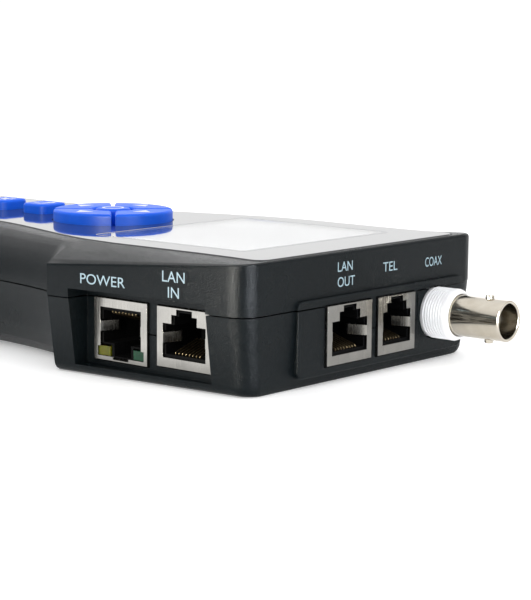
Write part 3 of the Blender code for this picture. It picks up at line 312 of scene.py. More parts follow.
def window_finish():
    """Clear acrylic over the display, smudged a little where thumbs reach it."""
    made, tree, shader = new_finish("window_clear", (0.96, 0.97, 0.98), 0.03, IOR=1.35, Transmission_Weight=1.0)
    marks = placed_group(tree, HANDLING, Cloud_Size=18 * MM, Specks=0.2)
    tree.links.new(ramp(tree, marks["Clouds"], 0, 1, 0.01, 0.06), shader.inputs["Roughness"])
    return made


def display_finish(low, high):
    """An unlit display: a grey-green active area with its cell grid, inside a dark border."""
    made, tree, shader = new_finish("display_cells", (0.24, 0.26, 0.26), 0.25, IOR=1.5)
    where = add(tree, "ShaderNodeTexCoord").outputs["Object"]
    axes = add(tree, "ShaderNodeSeparateXYZ", {0: where}).outputs
    inside = 1.0
    for axis in (0, 1):
        middle, reach = (low[axis] + high[axis]) / 2, (high[axis] - low[axis]) / 2 - TRAY_EDGE
        away = maths(tree, "ABSOLUTE", maths(tree, "SUBTRACT", axes[axis], middle))
        inside = maths(tree, "MULTIPLY", ramp(tree, away, reach, reach - 0.1 * MM), inside)
    cells = 1.0
    for axis in (0, 1):
        line = maths(tree, "FRACT", maths(tree, "DIVIDE", axes[axis], CELL_PITCH))
        cells = maths(tree, "MULTIPLY", ramp(tree, line, 0.05, 0.16), cells)
    active = blend_colours(tree, cells, (0.014, 0.015, 0.016), (0.02, 0.022, 0.023))
    colour = blend_colours(tree, inside, (0.012, 0.012, 0.013), active)
    tree.links.new(colour, shader.inputs["Base Color"])
    return made


def bright_metal(name, dark, light, roughness, line_scale, across=0.0, depth=0.004 * MM):
    """Plated or rolled metal: drawn lines in its gloss and a slow change of tone."""
    made, tree, shader = new_finish(name, light, roughness, 1.0)
    metal = placed_group(tree, DRAWN_METAL, Line_Scale=line_scale, Across=across)
    marks = placed_group(tree, HANDLING, Cloud_Size=6 * MM, Specks=0.2)
    tone = blend_colours(tree, ramp(tree, metal["Tone"], 0.3, 0.7), dark, light)
    tree.links.new(blend_colours(tree, marks["Dust"], tone, (0.4, 0.4, 0.4)), shader.inputs["Base Color"])
    gloss = ramp(tree, metal["Lines"], 0.3, 0.7, roughness - 0.05, roughness + 0.08)
    tree.links.new(gloss, shader.inputs["Roughness"])
    bump(tree, shader, metal["Lines"], depth)
    return made


def light_pipe(name, colour):
    """Tinted clear plastic, cloudy inside, so that it shows its colour when it is dark."""
    made, tree, shader = new_finish(name, colour, 0.3, IOR=1.3)
    shader.inputs["Subsurface Weight"].default_value = 0.4
    shader.inputs["Subsurface Scale"].default_value = 1 * MM
    marks = placed_group(tree, HANDLING, Cloud_Size=1.5 * MM, Specks=0.3)
    shade = blend_colours(tree, marks["Clouds"], [channel * 0.75 for channel in colour], colour)
    tree.links.new(shade, shader.inputs["Base Color"])
    return made


def ink(name, colour):
    """Screen-printed ink, a little uneven where it sits on the grain."""
    made, tree, shader = new_finish(name, colour, 0.5)
    grain = placed_group(tree, GRAIN, Size=0.18 * MM, Depth=1.0)
    worn = blend_colours(tree, grain["Peaks"], [channel * 0.82 for channel in colour], colour)
    tree.links.new(worn, shader.inputs["Base Color"])
    bump(tree, shader, grain["Height"], 0.01 * MM)
    return made


# Shapes -----------------------------------------------------------------------------------------------


def new_object(name, mesh, finish=None):
    made = bpy.data.objects.new(name, mesh)
    bpy.context.scene.collection.objects.link(made)
    if finish is not None:
        made.data.materials.clear()
        made.data.materials.append(finish)
    return made


def settle(obj):
    """Turns an object and its modifiers into a plain mesh."""
    graph = bpy.context.evaluated_depsgraph_get()
    mesh = bpy.data.meshes.new_from_object(obj.evaluated_get(graph))
    obj.modifiers.clear()
    old = obj.data
    obj.data = mesh
    bpy.data.meshes.remove(old)
    return obj


def merged_copy(node, name, finish):
    """A copy of a frame node with its triangles welded and its flat faces made whole."""
    work = bmesh.new()
    work.from_mesh(frame["nodes"][node].data)
    bmesh.ops.remove_doubles(work, verts=work.verts, dist=0.002 * MM)
    bmesh.ops.dissolve_limit(work, angle_limit=math.radians(0.6), verts=work.verts, edges=work.edges)
    mesh = bpy.data.meshes.new(name)
    work.to_mesh(mesh)
    work.free()
    return new_object(name, mesh, finish)


def soften(obj, width, segments=2, angle=32.0):
    """Rounds the sharp edges, and shades the curves smooth and the flats flat."""
    edge = obj.modifiers.new("edge", "BEVEL")
    edge.width = width
    edge.segments = segments
    edge.limit_method = "ANGLE"
    edge.angle_limit = math.radians(angle)
    edge.harden_normals = False
    settle(obj)
    obj.data.shade_smooth()
    obj.data.set_sharp_from_angle(angle=math.radians(50))
    flat = obj.modifiers.new("flats", "WEIGHTED_NORMAL")
    flat.keep_sharp = True
    return settle(obj)


def dressed(node, name, finish, width, segments=2, angle=32.0):
    """A frame node's softened stand-in, riding where the node does."""
    made = soften(merged_copy(node, name, finish), width, segments, angle)
    return stand_in(made, node)


def stand_in(made, *nodes):
    body = next(body for body, members in bodies.items() if nodes[0] in members)
    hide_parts(*nodes)
    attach(made, body)
    return made


def extra(made, body):
    """A piece with no node of its own."""
    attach(made, body)
    return made


def outline_mesh(name, outline, low, high, finish):
    """An outline of (x, y) pairs as a closed slab between two heights."""
    work = bmesh.new()
    rings = [[work.verts.new((x, y, z)) for x, y in outline] for z in (low, high)]
    count = len(outline)
    work.faces.new(rings[0][::-1])
    work.faces.new(rings[1])
    for i in range(count):
        j = (i + 1) % count
        work.faces.new((rings[0][i], rings[0][j], rings[1][j], rings[1][i]))
    bmesh.ops.recalc_face_normals(work, faces=work.faces)
    mesh = bpy.data.meshes.new(name)
    work.to_mesh(mesh)
    work.free()
    return new_object(name, mesh, finish)


def rounded_rectangle(centre, size, radius, steps=6):
    outline = []
    for turn, (side_x, side_y) in enumerate(((1, 1), (-1, 1), (-1, -1), (1, -1))):
        middle = (centre[0] + side_x * (size[0] / 2 - radius), centre[1] + side_y * (size[1] / 2 - radius))
        for step in range(steps + 1):
            angle = math.pi / 2 * (turn + step / steps)
            outline.append((middle[0] + radius * math.cos(angle), middle[1] + radius * math.sin(angle)))
    return outline


def joined(name, parts):
    """Several objects as one, in the first one's finish."""
    work = bmesh.new()
    for part in parts:
        work.from_mesh(part.data)
    mesh = bpy.data.meshes.new(name)
    work.to_mesh(mesh)
    work.free()
    finish = parts[0].data.materials[0]
    for part in parts:
        bpy.data.objects.remove(part, do_unlink=True)
    return new_object(name, mesh, finish)


def band(name, outer, inner, low, high, finish):
    """A flat closed ring between two outlines of equal count."""
    work = bmesh.new()
    rings = []
    for outline, height in ((outer, low), (outer, high), (inner, high), (inner, low)):
        rings.append([work.verts.new((x, y, height)) for x, y in outline])
    count = len(outer)
    for here, after in zip(rings, rings[1:] + rings[:1]):
        for i in range(count):
            j = (i + 1) % count
            work.faces.new((here[i], here[j], after[j], after[i]))
    bmesh.ops.recalc_face_normals(work, faces=work.faces)
    mesh = bpy.data.meshes.new(name)
    work.to_mesh(mesh)
    work.free()
    return new_object(name, mesh, finish)


def middle_of(node):
    low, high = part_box(node)
    return (low + high) / 2


# Case -------------------------------------------------------------------------------------------------


def make_case(finish):
    dressed("upper_housing", "upper_shell", finish, 0.22 * MM)
    dressed("lower_housing", "lower_shell", finish, 0.22 * MM)
    dressed("battery_door", "battery_cover", finish, 0.3 * MM)


def make_door_grips(finish):
    """Raised thumb ribs across the battery door, at the end it opens from."""
    low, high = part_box("battery_door")
    middle = (low.x + high.x) / 2
    ribs = []
    for row in range(GRIP_RIBS):
        y = high.y - 6 * MM - row * GRIP_RIB_PITCH
        size = (GRIP_RIB_LENGTH - abs(row - GRIP_RIBS // 2) * 2.4 * MM, GRIP_RIB_THICKNESS)
        outline = rounded_rectangle((middle, y), size, 0.42 * MM, 3)
        ribs.append(outline_mesh("rib", outline, low.z - 0.2 * MM, low.z + 0.2 * MM, finish))
    extra(joined("battery_cover_grips", ribs), "battery_door")


# Plate and display ------------------------------------------------------------------------------------


def make_plate(finish, glass, line):
    """The plate with its window cut through, a clear pane in it, and a fine printed line round it."""
    display_low, display_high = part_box("display_module")
    low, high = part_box("face_plate")
    centre = ((display_low.x + display_high.x) / 2, (display_low.y + display_high.y) / 2)
    size = [display_high[i] - display_low[i] - 2 * WINDOW_INSET for i in (0, 1)]
    hole = rounded_rectangle(centre, size, WINDOW_RADIUS)
    plate = merged_copy("face_plate", "front_plate", finish)
    cutter = outline_mesh("cutter", hole, low.z - 1 * MM, high.z + 1 * MM, finish)
    cut = plate.modifiers.new("window", "BOOLEAN")
    cut.operation = "DIFFERENCE"
    cut.solver = "EXACT"
    cut.object = cutter
    settle(plate)
    bpy.data.objects.remove(cutter, do_unlink=True)
    stand_in(soften(plate, 0.08 * MM, 2, 40.0), "face_plate")
    pane_size = [side - 2 * GLASS_GAP for side in size]
    pane = rounded_rectangle(centre, pane_size, WINDOW_RADIUS)
    extra(outline_mesh("window_pane", pane, low.z, high.z, glass), "case")
    line_size = [side + 2 * FRAME_LINE_MARGIN for side in size]
    outer = rounded_rectangle(centre, line_size, WINDOW_RADIUS + 1 * MM)
    inner = rounded_rectangle(centre, [side - 2 * FRAME_LINE for side in line_size], WINDOW_RADIUS)
    top = high.z + INK_LIFT / 2
    extra(band("window_line", outer, inner, high.z - INK_LIFT, top, line), "case")


# Keys -------------------------------------------------------------------------------------------------


def arrow_outline(centre, heading, length, width):
    """A plain triangle pointing along a heading."""
    corners = ((length / 2, 0), (-length / 2, width / 2), (-length / 2, -width / 2))
    c, s = math.cos(heading), math.sin(heading)
    return [(centre[0] + a * c - b * s, centre[1] + a * s + b * c) for a, b in corners]


def ring_outline(centre, radius, start=0.0, sweep=2 * math.pi, steps=24):
    angles = [start + sweep * i / steps for i in range(steps if sweep >= 2 * math.pi else steps + 1)]
    return [(centre[0] + radius * math.cos(a), centre[1] + radius * math.sin(a)) for a in angles]


def stroke(path, width):
    """A flat line of even width along a path of (x, y) points."""
    sides = ([], [])
    for i, here in enumerate(path):
        before = Vector(path[max(i - 1, 0)])
        after = Vector(path[min(i + 1, len(path) - 1)])
        along = (after - before).normalized()
        for side, sign in zip(sides, (1, -1)):
            side.append((here[0] - sign * along.y * width / 2, here[1] + sign * along.x * width / 2))
    return sides[0] + sides[1][::-1]


def key_mark(key, outlines, finish):
    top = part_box(key)[1].z
    parts = [outline_mesh("mark", outline, top - 0.1 * MM, top + INK_LIFT, finish) for outline in outlines]
    extra(joined(f"{key}_mark", parts), key)


def make_keys(finish, white):
    for key in DIRECTION_KEYS + FUNCTION_KEYS + ("key_ok",):
        dressed(key, f"{key}_cap", finish, 0.12 * MM, 2, 40.0)
    pad = middle_of("key_ok")
    for turn, key in enumerate(DIRECTION_KEYS):
        heading = math.pi / 2 * turn
        low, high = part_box(key)
        reach = max((high - low).x, (high - low).y) / 2
        out = Vector((math.cos(heading), math.sin(heading))) * (reach + 0.2 * MM)
        key_mark(key, [arrow_outline((pad.x + out.x, pad.y + out.y), heading, 3.6 * MM, 4.6 * MM)], white)
    ring = ring_outline((pad.x, pad.y), 2.5 * MM)
    key_mark("key_ok", [stroke(ring + ring[:1], 0.55 * MM)], white)
    make_function_marks(white)


def make_function_marks(white):
    """A return arrow, a lamp and a power sign."""
    line = 0.7 * MM
    x, y = middle_of("key_back").xy
    hook = [(x + 2.2 * MM, y - 1.3 * MM), (x + 2.2 * MM, y + 1.1 * MM), (x - 1.2 * MM, y + 1.1 * MM)]
    head = arrow_outline((x - 2.1 * MM, y + 1.1 * MM), math.pi, 2.2 * MM, 2.6 * MM)
    key_mark("key_back", [stroke(hook[:2], line), stroke(hook[1:], line), head], white)
    x, y = middle_of("key_light").xy
    rays = [ring_outline((x, y), 1.15 * MM)]
    for step in range(8):
        angle = math.pi / 4 * step
        ends = [(x + r * MM * math.cos(angle), y + r * MM * math.sin(angle)) for r in (1.75, 2.75)]
        rays.append(stroke(ends, 0.55 * MM))
    key_mark("key_light", rays, white)
    x, y = middle_of("key_power").xy
    gap = math.radians(38)
    arc = ring_outline((x, y), 2.1 * MM, math.pi / 2 + gap, 2 * math.pi - 2 * gap)
    key_mark("key_power", [stroke(arc, line), stroke([(x, y + 0.4 * MM), (x, y + 2.8 * MM)], line)], white)


# Jacks ------------------------------------------------------------------------------------------------


def jack_place(jack):
    """From a jack's own frame to the tester's."""
    low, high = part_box(f"{jack}_shield")
    middle = (low + high) / 2
    if jack in ("main_jack", "phone_jack"):
        return Matrix.Translation((middle.x, high.y, low.z))
    turn = Matrix.Rotation(-math.pi / 2, 4, "Z")
    place = Matrix.Translation((high.x, middle.y, low.z)) @ turn
    if jack == "poe_jack":
        height = high.z - low.z
        place = place @ Matrix.Translation((0, 0, height)) @ Matrix.Rotation(math.pi, 4, "Y")
    return place


def wire_row_tree(finish):
    """Bends one wire along the given path and repeats it side by side."""
    tree = bpy.data.node_groups.new("wire_row", "GeometryNodeTree")
    face = tree.interface
    face.new_socket("Path", in_out="INPUT", socket_type="NodeSocketGeometry")
    count = face.new_socket("Count", in_out="INPUT", socket_type="NodeSocketInt")
    pitch = face.new_socket("Pitch", in_out="INPUT", socket_type="NodeSocketFloat")
    radius = face.new_socket("Radius", in_out="INPUT", socket_type="NodeSocketFloat")
    face.new_socket("Wires", in_out="OUTPUT", socket_type="NodeSocketGeometry")
    start, end = tree.nodes.new("NodeGroupInput"), tree.nodes.new("NodeGroupOutput")
    curve = add(tree, "GeometryNodeMeshToCurve", {"Mesh": start.outputs["Path"]}).outputs[0]
    profile = add(tree, "GeometryNodeCurvePrimitiveCircle", {"Resolution": 8, "Radius": start.outputs["Radius"]})
    inputs = {"Curve": curve, "Profile Curve": profile.outputs[0], "Fill Caps": True}
    wire = add(tree, "GeometryNodeCurveToMesh", inputs).outputs[0]
    step = add(tree, "ShaderNodeCombineXYZ", {0: start.outputs["Pitch"]}).outputs[0]
    less = maths(tree, "SUBTRACT", start.outputs["Count"], 1.0)
    half = maths(tree, "MULTIPLY", less, -0.5)
    first = maths(tree, "MULTIPLY", half, start.outputs["Pitch"])
    origin = add(tree, "ShaderNodeCombineXYZ", {0: first}).outputs[0]
    inputs = {"Count": start.outputs["Count"], "Start Location": origin, "Offset": step}
    line = add(tree, "GeometryNodeMeshLine", inputs).outputs[0]
    wires = add(tree, "GeometryNodeInstanceOnPoints", {"Points": line, "Instance": wire}).outputs[0]
    solid = add(tree, "GeometryNodeRealizeInstances", {"Geometry": wires}).outputs[0]
    smooth = add(tree, "GeometryNodeSetShadeSmooth", {0: solid}).outputs[0]
    done = add(tree, "GeometryNodeSetMaterial", {"Geometry": smooth, "Material": finish}).outputs[0]
    tree.links.new(done, end.inputs["Wires"])
    return tree, {"Count": count.identifier, "Pitch": pitch.identifier, "Radius": radius.identifier}


def grown_by(name, tree, inputs, points, edges, finish, place=None):
    """The mesh that a Geometry Nodes tree makes from points and edges, as a plain object."""
    mesh = bpy.data.meshes.new(name)
    mesh.from_pydata(points, edges, [])
    made = new_object(name, mesh, finish)
    modifier = made.modifiers.new("growth", "NODES")
    modifier.node_group = tree
    for identifier, value in inputs.items():
        modifier[identifier] = value
    settle(made)
    if place is not None:
        made.data.transform(place)
    return made


def make_jacks(steel, black, gold):
    tree, sockets = wire_row_tree(gold)
    path = [(0, y * MM, z * MM) for y, z in WIRE_PATH]
    edges = [(i, i + 1) for i in range(len(path) - 1)]
    for jack, count in CONTACT_COUNTS.items():
        dressed(f"{jack}_shield", f"{jack}_can", steel, 0.07 * MM, 2, 25.0)
        dressed(f"{jack}_insert", f"{jack}_body", black, 0.1 * MM, 2, 30.0)
        values = {sockets["Count"]: count, sockets["Pitch"]: CONTACT_PITCH, sockets["Radius"]: WIRE_RADIUS}
        wires = grown_by(f"{jack}_wires", tree, values, path, edges, gold, jack_place(jack))
        stand_in(wires, f"{jack}_contacts")


# Bayonet connector ------------------------------------------------------------------------------------


def turned(name, profile, centre, finish, segments=72):
    """A closed (radius, distance along Y) profile turned about the connector's axis."""
    points, faces = [], []
    for step in range(segments):
        angle = 2 * math.pi * step / segments
        for radius, along in profile:
            points.append((centre[0] + radius * math.cos(angle), along, centre[1] + radius * math.sin(angle)))
    count = len(profile)
    for step in range(segments):
        after = (step + 1) % segments
        for i in range(count):
            j = (i + 1) % count
            faces.append((step * count + i, after * count + i, after * count + j, step * count + j))
    mesh = bpy.data.meshes.new(name)
    mesh.from_pydata(points, [], faces)
    work = bmesh.new()
    work.from_mesh(mesh)
    bmesh.ops.recalc_face_normals(work, faces=work.faces)
    work.to_mesh(mesh)
    work.free()
    return new_object(name, mesh, finish)


def rib_tree(finish):
    """A round rib bent into a hoop and repeated along Y."""
    tree = bpy.data.node_groups.new("barrel_ribs", "GeometryNodeTree")
    face = tree.interface
    face.new_socket("Seat", in_out="INPUT", socket_type="NodeSocketGeometry")
    named = {}
    for label in ("Hoop Radius", "Rib Radius", "Length"):
        named[label] = face.new_socket(label, in_out="INPUT", socket_type="NodeSocketFloat").identifier
    named["Count"] = face.new_socket("Count", in_out="INPUT", socket_type="NodeSocketInt").identifier
    face.new_socket("Ribs", in_out="OUTPUT", socket_type="NodeSocketGeometry")
    start, end = tree.nodes.new("NodeGroupInput"), tree.nodes.new("NodeGroupOutput")
    inputs = {"Resolution": 72, "Radius": start.outputs["Hoop Radius"]}
    hoop = add(tree, "GeometryNodeCurvePrimitiveCircle", inputs).outputs[0]
    inputs = {"Resolution": 10, "Radius": start.outputs["Rib Radius"]}
    profile = add(tree, "GeometryNodeCurvePrimitiveCircle", inputs).outputs[0]
    rib = add(tree, "GeometryNodeCurveToMesh", {"Curve": hoop, "Profile Curve": profile}).outputs[0]
    upright = add(tree, "GeometryNodeTransform", {"Geometry": rib, "Rotation": (math.pi / 2, 0, 0)}).outputs[0]
    gaps = maths(tree, "SUBTRACT", start.outputs["Count"], 1.0)
    pitch = maths(tree, "DIVIDE", start.outputs["Length"], gaps)
    step = add(tree, "ShaderNodeCombineXYZ", {1: pitch}).outputs[0]
    line = add(tree, "GeometryNodeMeshLine", {"Count": start.outputs["Count"], "Offset": step}).outputs[0]
    ribs = add(tree, "GeometryNodeInstanceOnPoints", {"Points": line, "Instance": upright}).outputs[0]
    solid = add(tree, "GeometryNodeRealizeInstances", {"Geometry": ribs}).outputs[0]
    smooth = add(tree, "GeometryNodeSetShadeSmooth", {0: solid}).outputs[0]
    done = add(tree, "GeometryNodeSetMaterial", {"Geometry": smooth, "Material": finish}).outputs[0]
    tree.links.new(done, end.inputs["Ribs"])
    return tree, named


def make_bnc(white, nickel):
    low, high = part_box("bnc_barrel")
    centre = ((low.x + high.x) / 2, (low.z + high.z) / 2)
    shell_low, shell_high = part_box("bnc_shell")
    outer, bore = (high.x - low.x) / 2, (shell_high.x - shell_low.x) / 2 + 0.15 * MM
    skin = outer - RIM_RISE
    collar = [(bore, low.y), (skin, low.y), (skin, high.y - 1.9 * MM), (outer, high.y - 1.75 * MM)]
    collar += [(outer, high.y - 1.2 * MM), (outer - 0.18 * MM, high.y - 0.75 * MM)]
    collar += [(outer - 0.5 * MM, high.y - 0.3 * MM), (outer - 0.95 * MM, high.y), (bore + 0.15 * MM, high.y)]
    collar += [(bore, high.y - 0.15 * MM)]
    barrel = turned("barrel", collar, centre, white)
    barrel.data.shade_smooth()
    barrel.data.set_sharp_from_angle(angle=math.radians(40))
    tree, named = rib_tree(white)
    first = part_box("upper_housing")[1].y + 0.4 * MM
    last = high.y - 2.3 * MM
    values = {named["Hoop Radius"]: skin, named["Rib Radius"]: RIB_RADIUS}
    values.update({named["Length"]: last - first, named["Count"]: RIB_COUNT})
    place = Matrix.Translation((centre[0], first, centre[1]))
    ribs = grown_by("ribs", tree, values, [(0, 0, 0)], [], white, place)
    stand_in(joined_smooth("bnc_collar", [barrel, ribs]), "bnc_barrel")
    dressed("bnc_shell", "bnc_tube", nickel, 0.08 * MM, 2, 30.0)


def joined_smooth(name, parts):
    made = joined(name, parts)
    made.data.shade_smooth()
    made.data.set_sharp_from_angle(angle=math.radians(40))
    return made


# Screws -----------------------------------------------------------------------------------------------


def screw_tree(finish):
    """A pan-head screw with a cross recess, set at every given point, head down."""
    tree = bpy.data.node_groups.new("case_screws", "GeometryNodeTree")
    face = tree.interface
    face.new_socket("Places", in_out="INPUT", socket_type="NodeSocketGeometry")
    named = {}
    for label in ("Head Radius", "Head Height", "Shank Radius", "Shank Length", "Slot"):
        named[label] = face.new_socket(label, in_out="INPUT", socket_type="NodeSocketFloat").identifier
    face.new_socket("Screws", in_out="OUTPUT", socket_type="NodeSocketGeometry")
    start, end = tree.nodes.new("NodeGroupInput"), tree.nodes.new("NodeGroupOutput")
    height, slot = start.outputs["Head Height"], start.outputs["Slot"]
    inputs = {"Vertices": 40, "Radius": start.outputs["Head Radius"], "Depth": height}
    head = add(tree, "GeometryNodeMeshCylinder", inputs).outputs["Mesh"]
    lift = add(tree, "ShaderNodeCombineXYZ", {2: maths(tree, "MULTIPLY", height, 0.5)}).outputs[0]
    head = add(tree, "GeometryNodeTransform", {"Geometry": head, "Translation": lift}).outputs[0]
    long = maths(tree, "MULTIPLY", start.outputs["Head Radius"], 1.15)
    arms = []
    for sides in ((long, slot), (slot, long)):
        size = add(tree, "ShaderNodeCombineXYZ", {0: sides[0], 1: sides[1], 2: height}).outputs[0]
        arms.append(add(tree, "GeometryNodeMeshCube", {"Size": size}).outputs["Mesh"])
    recessed = add(tree, "GeometryNodeMeshBoolean", {"Mesh 1": head}, operation="DIFFERENCE", solver="EXACT")
    recessed.inputs["Self Intersection"].default_value = True
    for arm in arms:
        tree.links.new(arm, recessed.inputs["Mesh 2"])
    shank_length = start.outputs["Shank Length"]
    inputs = {"Vertices": 20, "Radius": start.outputs["Shank Radius"], "Depth": shank_length}
    shank = add(tree, "GeometryNodeMeshCylinder", inputs).outputs["Mesh"]
    rise = maths(tree, "ADD", height, maths(tree, "MULTIPLY", shank_length, 0.5))
    up = add(tree, "ShaderNodeCombineXYZ", {2: rise}).outputs[0]
    shank = add(tree, "GeometryNodeTransform", {"Geometry": shank, "Translation": up}).outputs[0]
    whole = tree.nodes.new("GeometryNodeJoinGeometry")
    for part in (recessed.outputs["Mesh"], shank):
        tree.links.new(part, whole.inputs[0])
    inputs = {"Points": start.outputs["Places"], "Instance": whole.outputs[0]}
    screws = add(tree, "GeometryNodeInstanceOnPoints", inputs).outputs[0]
    solid = add(tree, "GeometryNodeRealizeInstances", {"Geometry": screws}).outputs[0]
    done = add(tree, "GeometryNodeSetMaterial", {"Geometry": solid, "Material": finish}).outputs[0]
    tree.links.new(done, end.inputs["Screws"])
    return tree, named


def make_screws(finish):
    tree, named = screw_tree(finish)
    places = []
    for screw in SCREWS:
        low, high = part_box(screw)
        places.append(((low.x + high.x) / 2, (low.y + high.y) / 2, low.z))
    low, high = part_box(SCREWS[0])
    values = {named["Head Radius"]: (high.x - low.x) / 2, named["Head Height"]: SCREW_HEAD_HEIGHT}
    shank = high.z - low.z - SCREW_HEAD_HEIGHT
    values.update({named["Shank Radius"]: SCREW_SHANK_RADIUS, named["Shank Length"]: shank})
    values[named["Slot"]] = SCREW_SLOT
    made = grown_by("case_screws", tree, values, places, [], finish)
    soften(made, 0.12 * MM, 2, 40.0)
    stand_in(made, *SCREWS)


# Printing on the case ---------------------------------------------------------------------------------


def word_mesh(text, height):
    """A word as a flat mesh, centred, with the given capital height."""
    curve = bpy.data.curves.new("word", "FONT")
    curve.body = text
    curve.align_x = "CENTER"
    curve.size = height * 1.42
    holder = bpy.data.objects.new("word", curve)
    bpy.context.scene.collection.objects.link(holder)
    graph = bpy.context.evaluated_depsgraph_get()
    mesh = bpy.data.meshes.new_from_object(holder.evaluated_get(graph))
    bpy.data.objects.remove(holder, do_unlink=True)
    bpy.data.curves.remove(curve)
    return mesh


def print_word(name, text, height, centre, across, up, finish, squeeze):
    """A word laid on the upper housing's wall, each point dropped onto the surface under it."""
    out = across.cross(up).normalized()
    mesh = word_mesh(text, height)
    work = bmesh.new()
    work.from_mesh(mesh)
    for vertex in work.verts:
        flat = Vector(centre) + across * vertex.co.x * squeeze + up * vertex.co.y
        hit, normal, _, _ = CASE_SURFACE.ray_cast(flat + out * 5 * MM, -out, 12 * MM)
        vertex.co = hit + normal * INK_LIFT if hit is not None else flat
    work.to_mesh(mesh)
    work.free()
    extra(new_object(name, mesh, finish), "case")


def make_labels(finish):
    """Plain words over the connectors."""
    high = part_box("upper_housing")[1]
    up = Vector((0, 0, 1))
    for name, text, node, nudge, height, letters, squeeze in END_WORDS:
        place = (middle_of(node).x - nudge, high.y - 0.75 * MM, height)
        print_word(name, text, letters, place, Vector((-1, 0, 0)), up, finish, squeeze)
    along = Vector((HEAD_LEAN, 1, 0)).normalized()
    for name, text, node, nudge, height, letters, squeeze in SIDE_WORDS:
        place = (high.x - 2 * MM, middle_of(node).y + nudge, height)
        print_word(name, text, letters, place, along, up, finish, squeeze)


# Studio -----------------------------------------------------------------------------------------------


def make_floor():
    made, tree, shader = new_finish("studio_floor", (0.9, 0.9, 0.905), 0.7)
    where = add(tree, "ShaderNodeTexCoord").outputs["Object"]
    tone = blend_colours(tree, noise(tree, where, 6.0, 2.0, 0.5), (0.89, 0.89, 0.895), (0.91, 0.91, 0.915))
    tree.links.new(tone, shader.inputs["Base Color"])
    shader.inputs["Emission Color"].default_value = (1, 1, 1, 1)
    shader.inputs["Emission Strength"].default_value = 0.3
    bpy.ops.mesh.primitive_circle_add(vertices=96, radius=3.0, fill_type="NGON", location=(0, 0, cad_box[0][2]))
    floor = bpy.context.object
    floor.name = "studio_floor"
    floor.data.materials.append(made)


def make_world():
    """A white room, dimmer near the horizon, with a bright backdrop behind the grip."""
    world = bpy.data.worlds.new("studio")
    bpy.context.scene.world = world
    world.use_nodes = True
    tree = world.node_tree
    background = tree.nodes["Background"]
    towards = add(tree, "ShaderNodeTexCoord").outputs["Generated"]
    behind = Vector((math.cos(math.radians(BACKDROP_AZIMUTH)), math.sin(math.radians(BACKDROP_AZIMUTH)), 0))
    facing = add(tree, "ShaderNodeVectorMath", {0: towards, 1: behind}, operation="DOT_PRODUCT").outputs["Value"]
    rise = add(tree, "ShaderNodeSeparateXYZ", {0: towards}).outputs["Z"]
    backdrop = maths(tree, "MULTIPLY", ramp(tree, facing, 0.6, 0.85), ramp(tree, rise, 0.55, 0.3))
    low = ramp(tree, rise, 0.06, 0.16, 1.06, 1.6)
    room = ramp(tree, rise, 0.0, 0.8, 0.6, 1.35)
    strength = add(tree, "ShaderNodeMix", data_type="FLOAT")
    for socket, value in ((0, backdrop), (2, room), (3, low)):
        tree.links.new(value, strength.inputs[socket])
    background.inputs["Color"].default_value = (1, 1, 1, 1)
    tree.links.new(strength.outputs[0], background.inputs["Strength"])


def gloss_light(name, place, towards, size, power, colour):
    """A bright card that shows only in gloss, so it draws highlights and lights nothing else."""
    light = bpy.data.lights.new(name, "AREA")
    light.shape = "RECTANGLE"
    light.size, light.size_y = size
    light.energy = power
    light.color = colour
    holder = bpy.data.objects.new(name, light)
    bpy.context.scene.collection.objects.link(holder)
    holder.location = place
    holder.rotation_euler = Vector(towards).to_track_quat("-Z", "Y").to_euler()
    holder.visible_camera = False
    holder.visible_diffuse = False


def make_lights():
    """Two thin strips that stand by the head's near corner, and a card on the floor beside the grip."""
    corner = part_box("upper_housing")[1]
    strips = (("strip_left", -4, 6 * MM, 0.8, (1, 0.98, 0.9)), ("strip_right", 96, 4 * MM, 0.5, (0.88, 0.93, 1)))
    for name, azimuth, width, power, colour in strips:
        angle = math.radians(azimuth)
        away = Vector((math.cos(angle), math.sin(angle), 0)) * STRIP_DISTANCE
        place = Vector((corner.x, corner.y, STRIP_HEIGHT / 2 + 2 * MM)) + away
        gloss_light(name, place, -away, (width, STRIP_HEIGHT), power, colour)
    gloss_light("floor_card", (0.16, -0.06, 1 * MM), (0, 0, 1), (0.2, 0.26), 0.26, (1, 1, 1))


def make_camera():
    camera = bpy.data.cameras.new("camera")
    camera.lens = 114.26
    camera.sensor_width = 36
    camera.shift_x = -0.0331
    camera.shift_y = 0.0303
    holder = bpy.data.objects.new("camera", camera)
    bpy.context.scene.collection.objects.link(holder)
    yaw, pitch, roll = (math.radians(angle) for angle in CAMERA_ANGLES)
    forward = Vector((math.cos(pitch) * math.cos(yaw), math.cos(pitch) * math.sin(yaw), math.sin(pitch)))
    right = forward.cross(Vector((0, 0, 1))).normalized()
    up = right.cross(forward)
    across = right * math.cos(roll) + up * math.sin(roll)
    upright = up * math.cos(roll) - right * math.sin(roll)
    turn = Matrix((across, upright, -forward)).transposed()
    holder.matrix_world = Matrix.Translation(CAMERA_PLACE) @ turn.to_4x4()
    bpy.context.scene.camera = holder


# Everything together ----------------------------------------------------------------------------------

bodies = frame["record"]["behaviour"]["bodies"]

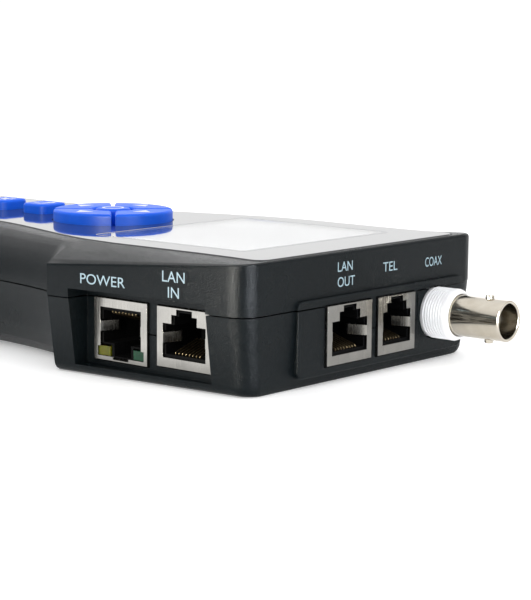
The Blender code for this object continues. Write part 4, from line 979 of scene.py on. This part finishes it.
case = case_finish()
black = moulded_plastic("black_nylon", (0.0012, 0.0012, 0.0015), 0.6, 0.2 * MM, 0.01 * MM, IOR=1.12)
white = moulded_plastic("white_nylon", (0.9, 0.91, 0.93), 0.38, 0.2 * MM, 0.004 * MM, 1.02)
steel = bright_metal("tinned_steel", (0.19, 0.186, 0.175), (0.24, 0.234, 0.22), 0.22, 2600.0, 1.0)
nickel = bright_metal("nickel_plate", (0.44, 0.4, 0.33), (0.56, 0.52, 0.45), 0.12, 3400.0)
# Painted shade: the contact gold is made far darker than bare gold, standing in for the shadow inside the jacks
# where the contacts sit.
gold = bright_metal("contact_gold_painted_shade", (0.035, 0.025, 0.014), (0.12, 0.09, 0.05), 0.3, 4000.0)
screw_steel = bright_metal("zinc_screw", (0.1, 0.1, 0.105), (0.2, 0.2, 0.205), 0.35, 3000.0)
printed = ink("label_ink", (0.4, 0.56, 0.64))
key_white = ink("key_ink", (0.85, 0.87, 0.9))
line_ink = ink("line_ink", (0.5, 0.5, 0.52))
rubber = key_finish()
board = moulded_plastic("board_lacquer", (0.012, 0.085, 0.035), 0.35, 0.5 * MM, 0.01 * MM)

make_case(case)
CASE_SURFACE = BVHTree.FromObject(bpy.data.objects["upper_shell"], bpy.context.evaluated_depsgraph_get())
make_door_grips(case)
make_plate(plate_finish(), window_finish(), line_ink)
make_keys(rubber, key_white)
make_jacks(steel, black, gold)
make_bnc(white, nickel)
make_screws(screw_steel)
make_labels(printed)

PLAIN_NODES = {
    "display_module": display_finish(*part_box("display_module")),
    "bnc_insulator": white,
    "bnc_contact": gold,
    "buzzer": black,
    "keypad_mat": rubber,
    "keypad_board": board,
    "main_board": board,
    "battery_pack": moulded_plastic("cell_wrap", (0.32, 0.33, 0.36), 0.4, 1.5 * MM, 0.02 * MM, 1.1),
    "yellow_light": light_pipe("yellow_pipe", (0.15, 0.15, 0.006)),
    "green_light": light_pipe("green_pipe", (0.002, 0.065, 0.025)),
}
for node, finish in PLAIN_NODES.items():
    frame["nodes"][node].data.materials.clear()
    frame["nodes"][node].data.materials.append(finish)

bpy.context.scene.view_settings.view_transform = "Standard"
make_floor()
make_world()
make_lights()
make_camera()
